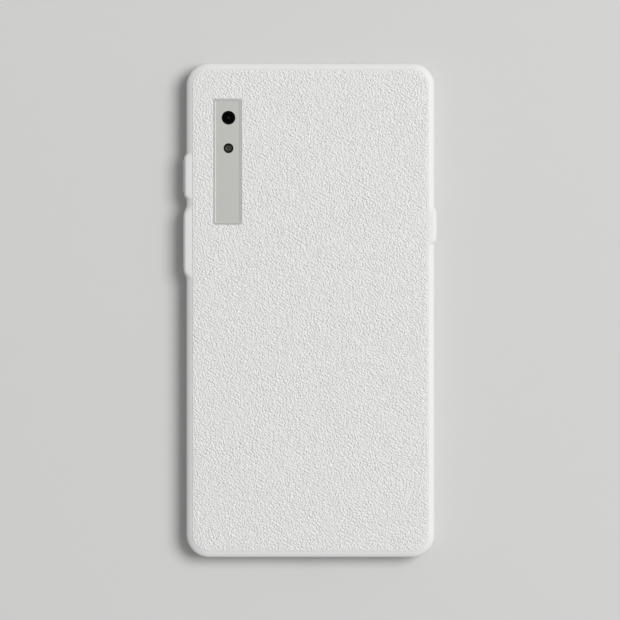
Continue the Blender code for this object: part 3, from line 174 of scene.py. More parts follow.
def prism(width, length, corner, bottom, top, segments, centre=(0.0, 0.0),
          edge=0.0, edgeSteps=3, under=False):
    # edge rounds the top, and under rounds the bottom too
    rings = [(0.0, bottom)]
    if under:
        rings = rollRings(bottom + edge, edge, -90, 0, edgeSteps)
    if edge:
        rings += rollRings(top - edge, edge, 0, 90, edgeSteps)
    else:
        rings.append((0.0, top))
    bm = ringed((width / 2, length / 2), corner, rings, segments)
    bmesh.ops.translate(bm, vec=(*centre, 0.0), verts=bm.verts)
    return bm


def turned(profile, steps, centre, loop=False):
    # a lathe shape: profile is (radius, level), loop joins its end to its start
    bm = bmesh.new()
    verts = [bm.verts.new((radius, 0.0, level)) for radius, level in profile]
    pairs = list(zip(verts, verts[1:]))
    if loop:
        pairs.append((verts[-1], verts[0]))
    edges = [bm.edges.new(pair) for pair in pairs]
    bmesh.ops.spin(bm, geom=verts + edges, cent=(0, 0, 0), axis=(0, 0, 1), angle=2 * math.pi,
                   steps=steps, use_merge=True)
    bmesh.ops.remove_doubles(bm, verts=bm.verts, dist=1e-4)
    bmesh.ops.recalc_face_normals(bm, faces=bm.faces)
    bmesh.ops.translate(bm, vec=(*centre, 0.0), verts=bm.verts)
    return bm


def rod(radius, bottom, top, steps, centre=(0.0, 0.0)):
    return turned([(0.0, bottom), (radius, bottom), (radius, top), (0.0, top)], steps, centre)


def toSide(bm, side, y, z):
    # turns a shape drawn flat so that its top faces +X or -X
    matrix = Matrix(((0, 0, side, 0), (side, 0, 0, y), (0, 1, 0, z), (0, 0, 0, 1)))
    bmesh.ops.transform(bm, matrix=matrix, verts=bm.verts)
    return bm


def toLowerEnd(bm, x, z):
    # turns a shape drawn flat so that its top faces -Y
    matrix = Matrix(((1, 0, 0, x), (0, 0, -1, 0), (0, 1, 0, z), (0, 0, 0, 1)))
    bmesh.ops.transform(bm, matrix=matrix, verts=bm.verts)
    return bm


def gathered(shapes):
    whole = bmesh.new()
    for shape in shapes:
        mesh = meshFrom("shape", shape)
        whole.from_mesh(mesh)
        bpy.data.meshes.remove(mesh)
    return whole


def carved(bm, tools):
    # takes the tools out of a closed shape
    blank = addObject("blank", meshFrom("blank", bm))
    cutter = addObject("cutter", meshFrom("cutter", gathered(tools)))
    cut = blank.modifiers.new("cut", "BOOLEAN")
    cut.operation = "DIFFERENCE"
    cut.solver = "EXACT"
    cut.object = cutter
    result = bmesh.new()
    result.from_object(blank, bpy.context.evaluated_depsgraph_get())
    for item in (blank, cutter):
        mesh = item.data
        bpy.data.objects.remove(item)
        bpy.data.meshes.remove(mesh)
    return result


def addPiece(name, bm, material, body, node=None, smooth=32):
    # smooth is the sharpest turn, in degrees, that still shades as a curve
    bmesh.ops.scale(bm, vec=(mm, mm, mm), verts=bm.verts)
    mesh = meshFrom(name, bm)
    mesh.shade_smooth()
    mesh.set_sharp_from_angle(angle=math.radians(smooth))
    mesh.materials.append(material)
    piece = addObject(name, mesh)
    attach(piece, body)
    if node:
        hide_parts(node)
    print("made", name, "-", len(mesh.polygons), "faces")


# materials: shared effects as node groups
mixColorA, mixColorB, mixColorOut = 6, 7, 2  # the colour sockets of a Mix node
mixValueA, mixValueB = 2, 3                  # and its value sockets


def addNode(tree, kind, sockets=(), **values):
    node = tree.nodes.new(kind)
    for key, value in values.items():
        setattr(node, key, value)
    for socket, value in dict(sockets).items():
        node.inputs[socket].default_value = value
    return node


def link(tree, source, output, target, socket):
    tree.links.new(source.outputs[output], target.inputs[socket])


def swing(tree, texture):
    # the texture's value less a half, so that it swings both ways
    node = addNode(tree, "ShaderNodeMath", {1: 0.5}, operation="SUBTRACT")
    link(tree, texture, "Fac", node, 0)
    return node


def scaleTone(tree, source, factor, target, socket):
    # the source's colour times the factor
    tone = addNode(tree, "ShaderNodeVectorMath", operation="SCALE")
    link(tree, source, "Color", tone, 0)
    link(tree, factor, 0, tone, "Scale")
    link(tree, tone, 0, target, socket)


def startSkin(name):
    group = bpy.data.node_groups.new(name, "ShaderNodeTree")
    for side, labels in (("INPUT", ("Color", "Scale", "Spread", "Roughness", "Unevenness")),
                         ("OUTPUT", ("Color", "Roughness", "Height"))):
        for label in labels:
            kind = "NodeSocketColor" if label == "Color" else "NodeSocketFloat"
            group.interface.new_socket(name=label, in_out=side, socket_type=kind)
    return group, addNode(group, "NodeGroupInput"), addNode(group, "NodeGroupOutput")


def closeSkin(group, given, out, texture, patches):
    # colour and height follow the texture, roughness follows the patches
    spread = addNode(group, "ShaderNodeMath", {2: 1.0}, operation="MULTIPLY_ADD")
    link(group, swing(group, texture), 0, spread, 0)
    link(group, given, "Spread", spread, 1)
    scaleTone(group, given, spread, out, "Color")
    rough = addNode(group, "ShaderNodeMath", operation="MULTIPLY_ADD")
    link(group, swing(group, patches), 0, rough, 0)
    link(group, given, "Unevenness", rough, 1)
    link(group, given, "Roughness", rough, 2)
    link(group, rough, 0, out, "Roughness")
    link(group, texture, "Fac", out, "Height")
    return group


skinSet = {
    "fineDetail": 3.0,
    "broadScale": 90.0,
    "broadDetail": 2.0,
    "brushStretch": (1.0, 0.02, 1.0),
    # what a finish has unless it says otherwise
    "plain": {"scale": 1500.0, "spread": 0.05, "unevenness": 0.08, "relief": 0.002,
              "metallic": 0.0, "specular": 0.5, "clear": 0.0},
}


def makeMottle(s):
    # uneven moulding: a colour that drifts a little, roughness patches and a fine skin
    group, given, out = startSkin("mottle")
    place = addNode(group, "ShaderNodeTexCoord")
    fine = addNode(group, "ShaderNodeTexNoise", {"Detail": s["fineDetail"]})
    broad = addNode(group, "ShaderNodeTexNoise", {"Scale": s["broadScale"], "Detail": s["broadDetail"]})
    link(group, place, "Object", fine, "Vector")
    link(group, place, "Object", broad, "Vector")
    link(group, given, "Scale", fine, "Scale")
    return closeSkin(group, given, out, fine, broad)


def makeBrushed(s):
    # fine parallel rubbing marks along Y, for rolled metal
    group, given, out = startSkin("brushed")
    place = addNode(group, "ShaderNodeTexCoord")
    stretch = addNode(group, "ShaderNodeMapping", {"Scale": s["brushStretch"]})
    marks = addNode(group, "ShaderNodeTexNoise", {"Detail": s["fineDetail"]})
    link(group, place, "Object", stretch, "Vector")
    link(group, stretch, "Vector", marks, "Vector")
    link(group, given, "Scale", marks, "Scale")
    return closeSkin(group, given, out, marks, marks)


mottle = makeMottle(skinSet)
brushed = makeBrushed(skinSet)


def finishNodes(name, group, s):
    # a Principled surface fed by one of the groups, with a shallow bump from its height
    s = {**skinSet["plain"], **s}
    material = bpy.data.materials.new(name)
    material.use_nodes = True
    tree = material.node_tree
    shader = tree.nodes["Principled BSDF"]
    skin = addNode(tree, "ShaderNodeGroup", {
        "Color": (*s["color"], 1.0), "Scale": s["scale"], "Spread": s["spread"],
        "Roughness": s["roughness"], "Unevenness": s["unevenness"],
    }, node_tree=group)
    relief = addNode(tree, "ShaderNodeBump", {"Strength": 1.0, "Distance": s["relief"] * mm})
    link(tree, skin, "Color", shader, "Base Color")
    link(tree, skin, "Roughness", shader, "Roughness")
    link(tree, skin, "Height", relief, "Height")
    link(tree, relief, "Normal", shader, "Normal")
    shader.inputs["Metallic"].default_value = s["metallic"]
    shader.inputs["Specular IOR Level"].default_value = s["specular"]
    shader.inputs["Transmission Weight"].default_value = s["clear"]
    return material, tree, shader, skin


def finish(name, group, s):
    return finishNodes(name, group, s)[0]


def finishByDistance(name, s, node, stops):
    # tones a round piece by the distance from its middle; stops are (share of the radius, tone)
    material, tree, shader, skin = finishNodes(name, mottle, s)
    x, y = middleOf(node)
    place = addNode(tree, "ShaderNodeTexCoord")
    centre = addNode(tree, "ShaderNodeMapping", {"Location": (-x * mm, -y * mm, 0.0)})
    flat = addNode(tree, "ShaderNodeVectorMath", {1: (1.0, 1.0, 0.0)}, operation="MULTIPLY")
    away = addNode(tree, "ShaderNodeVectorMath", operation="LENGTH")
    share = addNode(tree, "ShaderNodeMapRange", {"From Max": radiusOf(node) * mm})
    ramp = addNode(tree, "ShaderNodeValToRGB")
    link(tree, place, "Object", centre, "Vector")
    link(tree, centre, "Vector", flat, 0)
    link(tree, flat, 0, away, 0)
    link(tree, away, "Value", share, "Value")
    link(tree, share, "Result", ramp, "Fac")
    while len(ramp.color_ramp.elements) < len(stops):
        ramp.color_ramp.elements.new(0.5)
    for element, (position, value) in zip(ramp.color_ramp.elements, stops):
        element.position = position
        element.color = (value, value, value, 1.0)
    tone = addNode(tree, "ShaderNodeMix", {"Factor": 1.0}, data_type="RGBA", blend_type="MULTIPLY")
    link(tree, skin, "Color", tone, mixColorA)
    link(tree, ramp, "Color", tone, mixColorB)
    link(tree, tone, mixColorOut, shader, "Base Color")
    return material


# rear cover: grained field, rolled border, ramped key shoulders and every opening
shellSet = {
    "half": (40.0, 79.5),
    "corner": 7.3,
    "meshStep": 0.42,
    "back": 8.0,
    "border": 2.0,                 # smooth strip round the field
    "fieldRun": 0.1,               # step from the field down to the border
    "fieldSag": (1.4, 0.08),       # width of the field's last strip, and how far it bends down there
    "fieldGroove": (0.06, 0.06),   # width and depth of the fine groove along the field
    "borderTop": 7.74,
    # how the border falls away: inset from the wall and slope there, in degrees
    "borderFall": ((2.0, 13), (1.7, 17), (1.35, 21), (1.0, 25), (0.7, 30),
                   (0.45, 38), (0.26, 50), (0.12, 64), (0.04, 78), (0.0, 88)),
    "sideFall": 0.2,               # the long sides fall away this much more, the ends this much less
    # side, middle, length, ramp at each end, reach past the wall
    "shoulders": ((-1, 43.1, 14.7, 1.6, 0.7),
                  (-1, 21.8, 22.8, 2.9, 0.9),
                  (1, 27.1, 11.9, 1.6, 0.55)),
    "shoulderRoll": 1.1,
    "shoulderSink": 0.03,
    "rampEase": 1.7,
    "foot": (0.4, 0.2),            # height of the wall's foot over the seam, and its ease under a shoulder
    "seam": 2.45,
    "seamChamfer": 0.15,
    "wall": 1.4,
    "ceiling": 6.6,
    "ceilingChamfer": 0.5,
    "grainSize": 1.05,
    "grainHeight": 0.05,
    "grainWarp": (1.7, 0.28),      # how often and how far the pebbles' outlines wander
    "grainDome": 0.5,              # how far from its crease a pebble is full height
    "grainFade": 0.4,              # the wrinkles run out over this strip
    "wrinkleScale": 1740.0,
    "wrinkleDetail": 0.3,
    "wrinkleBend": 0.1,
    "wrinkleTurn": 31,             # askew, so that the wrinkles follow no side of the case
    "wrinkleDepth": 0.46,
    "paintedCreaseShade": (0.955, 1.01),   # painted shade: creases a little darker than the tops, and the tops painted a touch lighter
    "borderTone": 0.985,
    "glint": -0.12,                # the grain is less rough than the border
    "finish": {"color": (0.667, 0.664, 0.660), "scale": 2600.0, "spread": 0.03, "roughness": 0.56,
               "unevenness": 0.10, "relief": 0.004},
    # openings: the cuts run from inside the wall to clear of it
    "sideCut": (36.0, 43.0),
    "endCut": (77.0, 81.0),
    "backCut": 9.0,
    "plateGap": 0.04,
    "plateCorner": 0.64,
    "lensGap": 0.1,
    "lensCut": (6.0, 7.12),
    "keys": ((-1, 43.2, 10.6), (-1, 21.8, 16.4), (1, 27.1, 8.2)),  # side, middle, length
    "keyHeight": 2.2,
    "keyLevel": 4.3,
    "keyGap": 0.15,
    "keyCorner": 0.85,
    "drawer": (55.5, 5.01, 17.4, 1.8),  # middle, level, length, height
    "drawerGap": 0.12,
    "drawerCorner": 1.0,
    "port": (0.0, 4.43, 8.94, 3.16),    # middle, level, width, height
    "portGap": 0.1,
    "portCorner": 1.67,
    "speakerHole": 1.2,
    "speakerPitch": 2.3,
    "speakerCount": 6,
    "speakerX": 23.6,
    "micHole": 0.8,
    "micX": -17.0,
}


def pebble(s, x, y):
    # 0 in the creases between the pebbles, up to 1 on their tops
    size = s["grainSize"]
    often, far = s["grainWarp"]
    place = Vector((x / size, y / size, 0.0))
    place = place + noise.noise_vector(place * often) * far
    near = noise.voronoi(place)[0]
    dome = min(1.0, (near[1] - near[0]) / s["grainDome"])
    return dome * (2.0 - dome)


def shoulderRise(s, core, outward):
    # how far the border has become a shoulder, 0 to 1, and how far that one reaches
    best = (0.0, 0.0)
    for side, middle, length, ramp, reach in s["shoulders"]:
        if outward.x * side > 0.999:  # the straight of that side alone
            share = max(0.0, min(1.0, (length / 2 - abs(core.y - middle)) / ramp))
            best = max(best, (1.0 - (1.0 - share) ** s["rampEase"], reach))
    return best


def makeShellBody(s):
    half, corner, edge = s["half"], s["corner"], s["border"] + s["fieldRun"]
    fieldHalf = (half[0] - edge, half[1] - edge)
    fieldCorner = corner - edge
    counts = [round(2 * size / s["meshStep"]) for size in fieldHalf]
    run, drop = s["fieldSag"]
    bm = bmesh.new()
    heights = bm.verts.layers.float.new("pebble")
    grained = bm.verts.layers.float.new("grained")
    bmesh.ops.create_grid(bm, x_segments=counts[0], y_segments=counts[1], size=0.5)
    bmesh.ops.scale(bm, vec=(2 * fieldHalf[0], 2 * fieldHalf[1], 1.0), verts=bm.verts)
    for vert in bm.verts:
        u = abs(vert.co.x) - (fieldHalf[0] - fieldCorner)
        v = abs(vert.co.y) - (fieldHalf[1] - fieldCorner)
        if u > 0.0 and v > 0.0:  # the square corner of the grid becomes the round corner
            shrink = max(u, v) / math.hypot(u, v)
            vert.co.x = math.copysign(fieldHalf[0] - fieldCorner + u * shrink, vert.co.x)
            vert.co.y = math.copysign(fieldHalf[1] - fieldCorner + v * shrink, vert.co.y)
        core = Vector((max(0.0, abs(vert.co.x) - fieldHalf[0] + fieldCorner),
                       max(0.0, abs(vert.co.y) - fieldHalf[1] + fieldCorner)))
        inset = fieldCorner - core.length
        vert[heights] = pebble(s, vert.co.x, vert.co.y)
        vert[grained] = max(0.0, min(1.0, inset / s["grainFade"]))
        sag = drop * max(0.0, 1.0 - inset / run) ** 2
        vert.co.z = s["back"] - s["grainHeight"] * (1.0 - vert[heights]) - sag
    fieldVerts = set(bm.verts)

    def borderRing(core, outward, plain, turn):
        # from the plain border to the rounder shoulder over a key
        rise, reach = shoulderRise(s, core, outward)
        fall = 1.0 + s["sideFall"] * (outward.x ** 2 - outward.y ** 2)
        plain = (plain[0], s["borderTop"] - fall * (s["borderTop"] - plain[1]))
        roll = s["shoulderRoll"]
        level = s["borderTop"] - s["shoulderSink"] - roll * (1.0 - math.cos(turn))
        shoulder = (roll - reach - roll * math.sin(turn), level)
        return tuple(low + (high - low) * rise for low, high in zip(plain, shoulder))

    def footRing(core, outward):
        rise, reach = shoulderRise(s, core, outward)
        lift, ease = s["foot"]
        return -rise * reach, s["seam"] + lift + rise * (reach - ease)

    wide, deep = s["fieldGroove"]
    lip = s["borderTop"] - wide * math.tan(math.radians(s["borderFall"][0][1]))
    addPlainRings(bm, half, corner, ((s["border"], s["borderTop"] - deep), (s["border"] - wide, lip)))
    level, count = s["borderTop"], len(s["borderFall"]) - 1
    for index, ((start, above), (end, below)) in enumerate(zip(s["borderFall"], s["borderFall"][1:]), 1):
        level -= (start - end) * math.tan(math.radians((above + below) / 2))
        ring = ((end, level), math.pi / 2 * index / count)
        addRing(bm, half, corner, lambda core, outward, ring=ring: borderRing(core, outward, *ring))
    addRing(bm, half, corner, footRing)
    addPlainRings(bm, half, corner, (
        (0.0, s["seam"] + s["seamChamfer"]), (s["seamChamfer"], s["seam"]), (s["wall"], s["seam"]),
        (s["wall"], s["ceiling"] - s["ceilingChamfer"]), (s["wall"] + s["ceilingChamfer"], s["ceiling"]),
    ))
    for vert in bm.verts:  # only the field itself carries the grain
        if vert not in fieldVerts:
            vert[grained] = 0.0
    return closeUp(bm)


def shellTools(s):
    # everything that is cut out of the moulding
    low, high = boxMm("camera_plate")
    gap = 2 * s["plateGap"]
    tools = [prism(high.x - low.x + gap, high.y - low.y + gap, s["plateCorner"], low.z - s["plateGap"],
                   s["backCut"], segments=8, centre=middleOf("camera_plate"))]
    for node in ("camera_ring", "flash_lens"):
        tools.append(rod(radiusOf(node) + s["lensGap"], *s["lensCut"], steps=40, centre=middleOf(node)))
    gap = 2 * s["keyGap"]
    for side, y, length in s["keys"]:
        opening = prism(length + gap, s["keyHeight"] + gap, s["keyCorner"], *s["sideCut"], segments=8)
        tools.append(toSide(opening, side, y, s["keyLevel"]))
    y, z, length, height = s["drawer"]
    gap = 2 * s["drawerGap"]
    opening = prism(length + gap, height + gap, s["drawerCorner"], *s["sideCut"], segments=10)
    tools.append(toSide(opening, 1, y, z))
    x, z, width, height = s["port"]
    gap = 2 * s["portGap"]
    opening = prism(width + gap, height + gap, s["portCorner"], *s["endCut"], segments=14)
    tools.append(toLowerEnd(opening, x, z))
    for index in range(s["speakerCount"]):
        across = s["speakerX"] + (index - (s["speakerCount"] - 1) / 2) * s["speakerPitch"]
        tools.append(toLowerEnd(rod(s["speakerHole"] / 2, *s["endCut"], steps=28), across, z))
    tools.append(toLowerEnd(rod(s["micHole"] / 2, *s["endCut"], steps=24), s["micX"], z))
    return tools


def makeShellMaterial(s):
    # soft white moulding: painted shade in the creases of the grain, the pebble tops painted a touch lighter,
    # a smoother border
    material, tree, shader, skin = finishNodes("whiteShell", mottle, s["finish"])
    height = addNode(tree, "ShaderNodeAttribute", attribute_name="pebble")
    field = addNode(tree, "ShaderNodeAttribute", attribute_name="grained")
    dark, light = s["paintedCreaseShade"]
    # painted shade: the colour is darker in the creases and a little lighter on the pebble tops
    paintedShadeByCrease = addNode(tree, "ShaderNodeMapRange", {"To Min": dark, "To Max": light})
    link(tree, height, "Fac", paintedShadeByCrease, "Value")
    shade = addNode(tree, "ShaderNodeMix", {mixValueA: s["borderTone"]}, data_type="FLOAT")
    link(tree, field, "Fac", shade, "Factor")
    link(tree, paintedShadeByCrease, "Result", shade, mixValueB)
    scaleTone(tree, skin, shade, shader, "Base Color")
    rough = addNode(tree, "ShaderNodeMath", {1: s["glint"]}, operation="MULTIPLY_ADD")
    link(tree, field, "Fac", rough, 0)
    link(tree, skin, "Roughness", rough, 2)
    link(tree, rough, 0, shader, "Roughness")
    place = addNode(tree, "ShaderNodeTexCoord")
    turn = addNode(tree, "ShaderNodeMapping", {"Rotation": (0.0, 0.0, math.radians(s["wrinkleTurn"]))})
    grain = addNode(tree, "ShaderNodeTexNoise", {
        "Scale": s["wrinkleScale"], "Detail": s["wrinkleDetail"], "Distortion": s["wrinkleBend"],
    })
    link(tree, place, "Object", turn, "Vector")
    link(tree, turn, "Vector", grain, "Vector")
    onField = addNode(tree, "ShaderNodeMath", operation="MULTIPLY")  # leathery wrinkles, on the field alone
    link(tree, swing(tree, grain), 0, onField, 0)
    link(tree, field, "Fac", onField, 1)
    wrinkle = addNode(tree, "ShaderNodeBump", {"Distance": s["wrinkleDepth"] * mm})
    link(tree, onField, 0, wrinkle, "Height")
    link(tree, wrinkle, "Normal", tree.nodes["Bump"], "Normal")
    return material


shell = carved(makeShellBody(shellSet), shellTools(shellSet))
addPiece("rearShell", shell, makeShellMaterial(shellSet), "body", "rear_cover", smooth=30)


# front rim: the other half of the case, with the pocket that holds the display
rimSet = {
    "half": (40.0, 79.5),
    "corner": 7.3,
    "front": 0.25,
    "roll": 0.7,
    "lip": 1.2,
    "lipChamfer": 0.08,
    "ledge": 0.88,
    "pocket": 2.6,
    "pocketFloor": 2.3,
    "seam": 2.35,
    "chamfer": 0.15,
    "tongue": 1.5,
    "bayFloor": 2.75,
    "finish": {"color": (0.665, 0.662, 0.658), "scale": 2600.0, "spread": 0.03, "roughness": 0.54,
               "unevenness": 0.10, "relief": 0.003},
}


def makeRim(s):
    rings = [(s["tongue"], s["bayFloor"]), (s["tongue"], s["seam"]), (s["chamfer"], s["seam"]),
             (0.0, s["seam"] - s["chamfer"])]
    rings += rollRings(s["front"] + s["roll"], s["roll"], 0, -90, steps=7)
    rings += [(s["lip"] - s["lipChamfer"], s["front"]), (s["lip"], s["front"] + s["lipChamfer"]),
              (s["lip"], s["ledge"]), (s["pocket"], s["ledge"]), (s["pocket"], s["pocketFloor"])]
    return ringed(s["half"], s["corner"], rings, segments=20)


rimWhite = finish("rimWhite", mottle, rimSet["finish"])
addPiece("frontRim", makeRim(rimSet), rimWhite, "body", "front_housing")


# camera plate: a dished panel inside a low rim, with two holes
plateSet = {
    "corner": 0.6,
    "groove": (0.33, 0.12),      # width and depth of the step round the rim
    "rimTop": 0.1,
    "dish": (0.32, 0.06),        # width and fall of the slope down to the panel
    "dishTurns": (0.15, 0.85),   # share of the fall where the slope's soft turns end and start
    "round": 0.04,               # softening of each turn
    "clear": 0.05,
    "finish": {"color": (0.418, 0.422, 0.397), "scale": 5200.0, "spread": 0.05, "roughness": 0.50,
               "unevenness": 0.06, "relief": 0.0015, "metallic": 0.25},
}


def makePlate(s):
    low, high = boxMm("camera_plate")
    (strip, drop), (wide, fall), soft = s["groove"], s["dish"], s["round"]
    first, last = s["dishTurns"]
    steps = [(0.0, high.z - drop), (strip - soft, high.z - drop), (soft, high.z - soft),
             (soft, high.z), (s["rimTop"] - soft, high.z), (soft, high.z - first * fall),
             (wide - soft, high.z - last * fall), (soft, high.z - fall)]
    size = [high.x - low.x, high.y - low.y]
    blank = roundedFace(*size, s["corner"], low.z, segments=8)
    for inward, level in steps:
        verts = pullEdge(blank)
        smaller = [each - 2 * inward for each in size]
        bmesh.ops.scale(blank, vec=(smaller[0] / size[0], smaller[1] / size[1], 1.0), verts=verts)
        for vert in verts:
            vert.co.z = level
        size = smaller
    closeUp(blank)
    bmesh.ops.translate(blank, vec=(*middleOf("camera_plate"), 0.0), verts=blank.verts)
    holes = []
    for node in ("camera_ring", "flash_lens"):
        radius = radiusOf(node) + s["clear"]
        holes.append(rod(radius, low.z - cutPast, high.z + cutPast, steps=64, centre=middleOf(node)))
    return carved(blank, holes)


satinGrey = finish("satinGrey", mottle, plateSet["finish"])
addPiece("cameraPlate", makePlate(plateSet), satinGrey, "body", "camera_plate", smooth=4)


# camera: black ring and its coated window
lensSet = {
    "bore": 1.2,
    "boreChamfer": (0.15, 0.08),   # width and depth
    "seat": 1.7,
    "seatGap": 0.05,
    "seatChamfer": 0.06,
    "round": 0.08,
    "roundSteps": 4,
    "windowEdge": 0.06,
    "ringFinish": {"color": (0.0025, 0.0025, 0.0028), "scale": 3000.0, "spread": 0.2, "roughness": 0.25,
                   "relief": 0.001, "specular": 0.04},
    "windowFinish": {"color": (0.03, 0.03, 0.034), "scale": 2500.0, "spread": 0.2, "roughness": 0.05,
                     "unevenness": 0.02, "relief": 0.0, "specular": 0.03},
    # painted glint in the middle and a faint painted reflection ring, standing in for light off the lens
    # behind the window
    "paintedGlintTones": ((0.0, 1.1), (0.12, 1.0), (0.18, 0.03), (0.44, 0.02),
                    (0.47, 0.12), (0.50, 0.02), (1.0, 0.02)),
}


def makeCameraRing(s):
    low, high = boxMm("camera_ring")
    outer, bend, chamfer = radiusOf("camera_ring"), s["round"], s["seatChamfer"]
    seat = boxMm("camera_window")[0].z - s["seatGap"]
    profile = [(s["bore"], low.z), (outer - bend, low.z), (outer, low.z + bend)]
    for step in range(s["roundSteps"] + 1):
        angle = math.radians(90 * step / s["roundSteps"])
        profile.append((outer - bend + bend * math.cos(angle), high.z - bend + bend * math.sin(angle)))
    wide, deep = s["boreChamfer"]
    profile += [(s["seat"] + chamfer, high.z), (s["seat"], high.z - chamfer), (s["seat"], seat),
                (s["bore"] + wide, seat), (s["bore"], seat - deep)]
    return turned(profile, steps=72, centre=middleOf("camera_ring"), loop=True)


def makeCameraWindow(s):
    low, high = boxMm("camera_window")
    radius, edge = radiusOf("camera_window"), s["windowEdge"]
    profile = [(0.0, low.z), (radius - edge, low.z), (radius, low.z + edge), (radius, high.z - edge),
               (radius - edge, high.z), (0.0, high.z)]
    return turned(profile, steps=64, centre=middleOf("camera_window"))


glossBlack = finish("glossBlack", mottle, lensSet["ringFinish"])
addPiece("cameraRing", makeCameraRing(lensSet), glossBlack, "body", "camera_ring")
# the window's colour carries a painted glint and a painted reflection ring
blackGlass = finishByDistance("blackGlass", lensSet["windowFinish"], "camera_window", lensSet["paintedGlintTones"])
addPiece("cameraWindow", makeCameraWindow(lensSet), blackGlass, "body", "camera_window")


# flash: ridged window in a black collar
flashSet = {
    "edge": 0.07,
    "collar": 1.08,
    "collarChamfer": (0.05, 0.06),   # width and depth
    "depth": 0.14,
    "ridges": 3,
    "ridgeHeight": 0.05,
    "ridgeShape": (0.25, 0.95),      # where a ridge peaks and ends, as shares of its width
    "valley": 0.004,
    "dot": 0.26,
    "dotDome": ((0.6, 0.03), (0.0, 0.04)),   # share of its radius, height
    "finish": {"color": (0.046, 0.046, 0.030), "scale": 4000.0, "spread": 0.25, "roughness": 0.30,
               "unevenness": 0.05, "relief": 0.001, "specular": 0.12},
    # dark dot over the lamp, olive window, black collar
    "tones": ((0.0, 0.10), (0.13, 0.16), (0.22, 0.9), (0.40, 1.0), (0.62, 0.8), (0.70, 0.06), (1.0, 0.04)),
}


def makeFlash(s):
    low, high = boxMm("flash_lens")
    outer, edge, collar = radiusOf("flash_lens"), s["edge"], s["collar"]
    floor = high.z - s["depth"]
    wide, deep = s["collarChamfer"]
    profile = [(0.0, low.z), (outer, low.z), (outer, high.z - edge), (outer - edge, high.z),
               (collar + wide, high.z), (collar, high.z - deep), (collar, floor)]
    width = (collar - s["dot"]) / s["ridges"]
    peak, end = s["ridgeShape"]
    for index in range(s["ridges"]):
        start = collar - index * width
        profile.append((start - peak * width, floor + s["ridgeHeight"]))
        profile.append((start - end * width, floor + s["valley"]))
    profile += [(s["dot"] * share, floor + height) for share, height in s["dotDome"]]
    return turned(profile, steps=64, centre=middleOf("flash_lens"))


smokedFlash = finishByDistance("smokedFlash", flashSet["finish"], "flash_lens", flashSet["tones"])
addPiece("flashWindow", makeFlash(flashSet), smokedFlash, "body", "flash_lens")


# side keys: rounded caps with the flange and feet that hold them behind the wall
keySet = {
    "level": 4.3,
    "height": 2.2,
    "corner": 0.7,
    "edge": 0.3,
    "flange": 0.6,
    "foot": (1.4, 0.4),       # side of a foot and its depth behind the flange
    "footCorner": 0.3,
    "footInto": 0.15,         # how far a foot runs into the cap
    # node, name, side, middle, length, length of the flange, places of the feet
    "keys": (("power_key", "powerKey", -1, 43.2, 10.6, 11.4, (0.0,)),
             ("volume_key", "volumeKey", -1, 21.8, 16.4, 5.6, (-5.5, 5.5)),
             ("function_key", "functionKey", 1, 27.1, 8.2, 9.0, (0.0,))),
    "finish": {"color": (0.690, 0.688, 0.684), "scale": 3400.0, "spread": 0.025, "roughness": 0.36,
               "specular": 0.4},
}


def makeKey(s, node, side, y, length, flangeLength, feet):
    low, high = boxMm(node)
    reach = max(abs(low.x), abs(high.x))
    back = min(abs(low.x), abs(high.x))
    foot, depth = s["foot"]
    flangeBack = back + depth
    root = flangeBack + s["flange"] / 2
    cap = prism(length, s["height"], s["corner"], root, reach, segments=8, edge=s["edge"], edgeSteps=6)
    flange = prism(flangeLength, high.z - low.z, s["corner"], flangeBack, flangeBack + s["flange"],
                   segments=5)
    shapes = [cap, flange]
    for along in feet:
        shapes.append(prism(foot, foot, s["footCorner"], back, root + s["footInto"], segments=4,
                            centre=(along * side, 0.0)))
    return toSide(gathered(shapes), side, y, s["level"])


keyWhite = finish("keyWhite", mottle, keySet["finish"])
for node, name, *shape in keySet["keys"]:
    addPiece(name, makeKey(keySet, node, *shape), keyWhite, node, node)


# memory card drawer: rounded front, thin frame with its pocket, pin hole for the ejector
drawerSet = {
    "front": (55.5, 5.01, 17.4, 1.8),      # middle, level, length, height
    "frontCorner": 0.88,
    "frontSpan": (38.75, 40.0),
    "frontEdge": 0.16,
    "frame": (28.8, 53.5, 20.1, 12.6),     # middle across and along, width, length
    "frameCorner": 0.8,
    "frameEdge": 0.07,
    "frameLevel": (4.66, 5.36),
    "pocket": (27.45, 53.5, 15.2, 11.2),
    "pocketCorner": 0.6,
    "pocketDepth": 0.5,
    "opening": (27.45, 53.5, 12.6, 8.6),
    "openingCorner": 0.8,
    "openingInto": 0.1,
    "pinHole": (62.3, 0.5),                # place and radius
    "finish": {"color": (0.680, 0.678, 0.674), "scale": 3000.0, "spread": 0.03, "roughness": 0.40,
               "specular": 0.4},
}


def makeDrawer(s):
    y, z, length, height = s["front"]
    back, face = s["frontSpan"]
    front = prism(length, height, s["frontCorner"], back, face, segments=10, edge=s["frontEdge"], edgeSteps=4)
    pinY, pinRadius = s["pinHole"]
    pin = toSide(rod(pinRadius, back - cutPast, face + cutPast, steps=28), 1, pinY, z)
    front = carved(toSide(front, 1, y, z), [pin])
    low, high = s["frameLevel"]
    floor = high - s["pocketDepth"]
    x, y, width, length = s["frame"]
    tray = prism(width, length, s["frameCorner"], low, high, segments=6, centre=(x, y),
                 edge=s["frameEdge"], edgeSteps=2, under=True)
    x, y, width, length = s["pocket"]
    pocket = prism(width, length, s["pocketCorner"], floor, high + cutPast, segments=5, centre=(x, y))
    x, y, width, length = s["opening"]
    opening = prism(width, length, s["openingCorner"], low - cutPast, floor + s["openingInto"], segments=5,
                    centre=(x, y))
    return gathered([front, carved(carved(tray, [pocket]), [opening])])


drawerWhite = finish("drawerWhite", mottle, drawerSet["finish"])
addPiece("cardDrawer", makeDrawer(drawerSet), drawerWhite, "card_tray", "card_tray")


